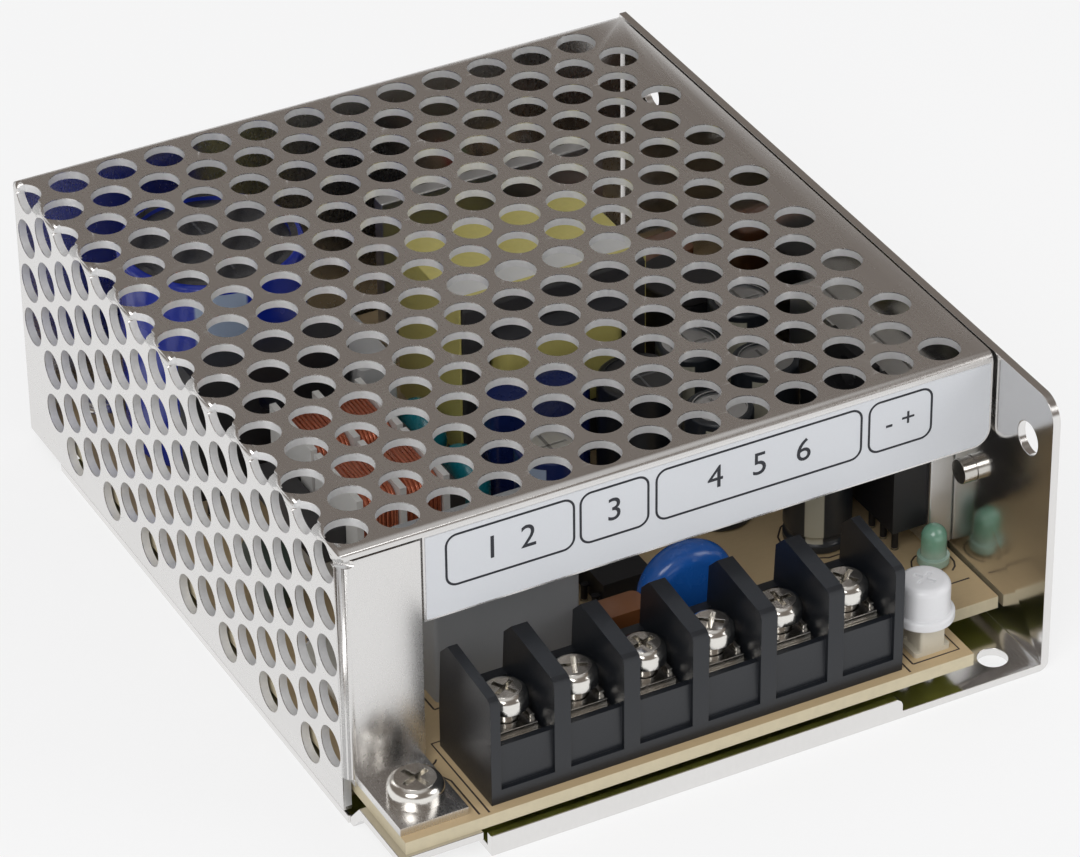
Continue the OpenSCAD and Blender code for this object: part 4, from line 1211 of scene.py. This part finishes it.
class SUPPLY_OT_transformer(bpy.types.Operator):
    """Finishes the taped transformer and the output choke."""

    bl_idname = "supply.transformer"
    bl_label = "Transformer"

    def execute(self, context):
        sizes = context.scene.supply_sizes
        colours = context.scene.supply_colours
        tape = wrapped("transformer tape", colours.tape, "z", TAPE_STRIP)
        soften("transformer_tape", tape, sizes.core_edge, 3)
        soften("transformer_winding", wrapped("winding tape", colours.tape, "x"), sizes.core_edge, 3)
        soften("transformer_core", moulded("ferrite", colours.ferrite, 0.5, 0.02, 0.3), sizes.core_edge)
        soften(
            "transformer_bobbin",
            moulded("transformer bobbin", (0.05, 0.05, 0.055), 0.42, 0.01, leads=LEAD_TOP),
            0.2 * MM,
        )
        soften("output_choke_core", moulded("drum ferrite", colours.ferrite, 0.5, 0.02, 0.3), 0.3 * MM)
        soften(
            "output_choke_winding",
            moulded("shrunk sleeve", (0.018, 0.018, 0.02), 0.34, 0.05, 1.6),
            0.5 * MM,
            3,
        )
        return {"FINISHED"}


class SUPPLY_OT_power_parts(bpy.types.Operator):
    """Finishes the heatsinks, the rectifiers, the transistor and the small packages."""

    bl_idname = "supply.power_parts"
    bl_label = "Power parts"

    def execute(self, context):
        sizes = context.scene.supply_sizes
        colours = context.scene.supply_colours
        bare = steel("bare aluminium", colours.aluminium, 0.34, 0.005)
        for node in ("heat_spreader", "rear_heatsink"):
            soften(node, bare, 0.25 * MM)
        pack = moulded("epoxy package", colours.epoxy, 0.48, 0.012, 0.25, leads=5.3)
        for node in ("bridge_rectifier", "output_rectifiers", "switching_transistor", "control_chip"):
            soften(node, pack, 0.16 * MM)
        soften("optocoupler", moulded("white package", (0.66, 0.66, 0.64), 0.48, 0.01, leads=5.3), 0.14 * MM)
        paint = Paint("banded resistor", Coat_Weight=0.3, Coat_Roughness=0.2)
        x, cloud = paint.x, paint.noise(1.6, 3.0)
        face = paint.shades((0.32, 0.22, 0.13), cloud, 0.08)
        for middle, band in RESISTOR_BANDS:
            face = paint.mix(abs(x - middle).ease(0.5, 0.42), face, band)
        wire = (paint.z < 14.5) + (abs(x - RESISTOR_MIDDLE) > 6.2)
        wire = wire.ease(0.1, 0.9)
        paint.set(Base_Color=paint.mix(wire, face, TINNED), Metallic=wire, Roughness=cloud * 0.12 + 0.3)
        paint.bump(cloud, 0.02)
        soften("snubber_resistor", paint.material, 0.3 * MM)
        return {"FINISHED"}


class SUPPLY_PT_panel(bpy.types.Panel):
    """Lists the operators and the settings of the power supply."""

    bl_idname = "SUPPLY_PT_panel"
    bl_label = "Mesh Case Power Supply"
    bl_space_type = "VIEW_3D"
    bl_region_type = "UI"
    bl_category = "Power Supply"

    def draw(self, context):
        for step in STEPS:
            self.layout.operator(step.bl_idname)
        for group in (context.scene.supply_sizes, context.scene.supply_colours, context.scene.supply_stage):
            column = self.layout.column(align=True)
            for name in group.bl_rna.properties.keys():
                if name not in ("rna_type", "name"):
                    column.prop(group, name)


STEPS = (
    SUPPLY_OT_stage,
    SUPPLY_OT_case,
    SUPPLY_OT_label,
    SUPPLY_OT_fasteners,
    SUPPLY_OT_board,
    SUPPLY_OT_terminals,
    SUPPLY_OT_trimmer,
    SUPPLY_OT_lamp,
    SUPPLY_OT_mains_parts,
    SUPPLY_OT_line_choke,
    SUPPLY_OT_capacitors,
    SUPPLY_OT_transformer,
    SUPPLY_OT_power_parts,
)
GROUPS = {"supply_sizes": SupplySizes, "supply_colours": SupplyColours, "supply_stage": SupplyStage}


def register():
    for kind in (*GROUPS.values(), *STEPS, SUPPLY_PT_panel):
        bpy.utils.register_class(kind)
    for name, group in GROUPS.items():
        setattr(bpy.types.Scene, name, PointerProperty(type=group))


def unregister():
    for name in GROUPS:
        delattr(bpy.types.Scene, name)
    for kind in (SUPPLY_PT_panel, *reversed(STEPS), *GROUPS.values()):
        bpy.utils.unregister_class(kind)


def main():
    """Runs every operator in order."""
    register()
    for step in STEPS:
        family, name = step.bl_idname.split(".")
        getattr(getattr(bpy.ops, family), name)()


if __name__ == "__main__":
    main()
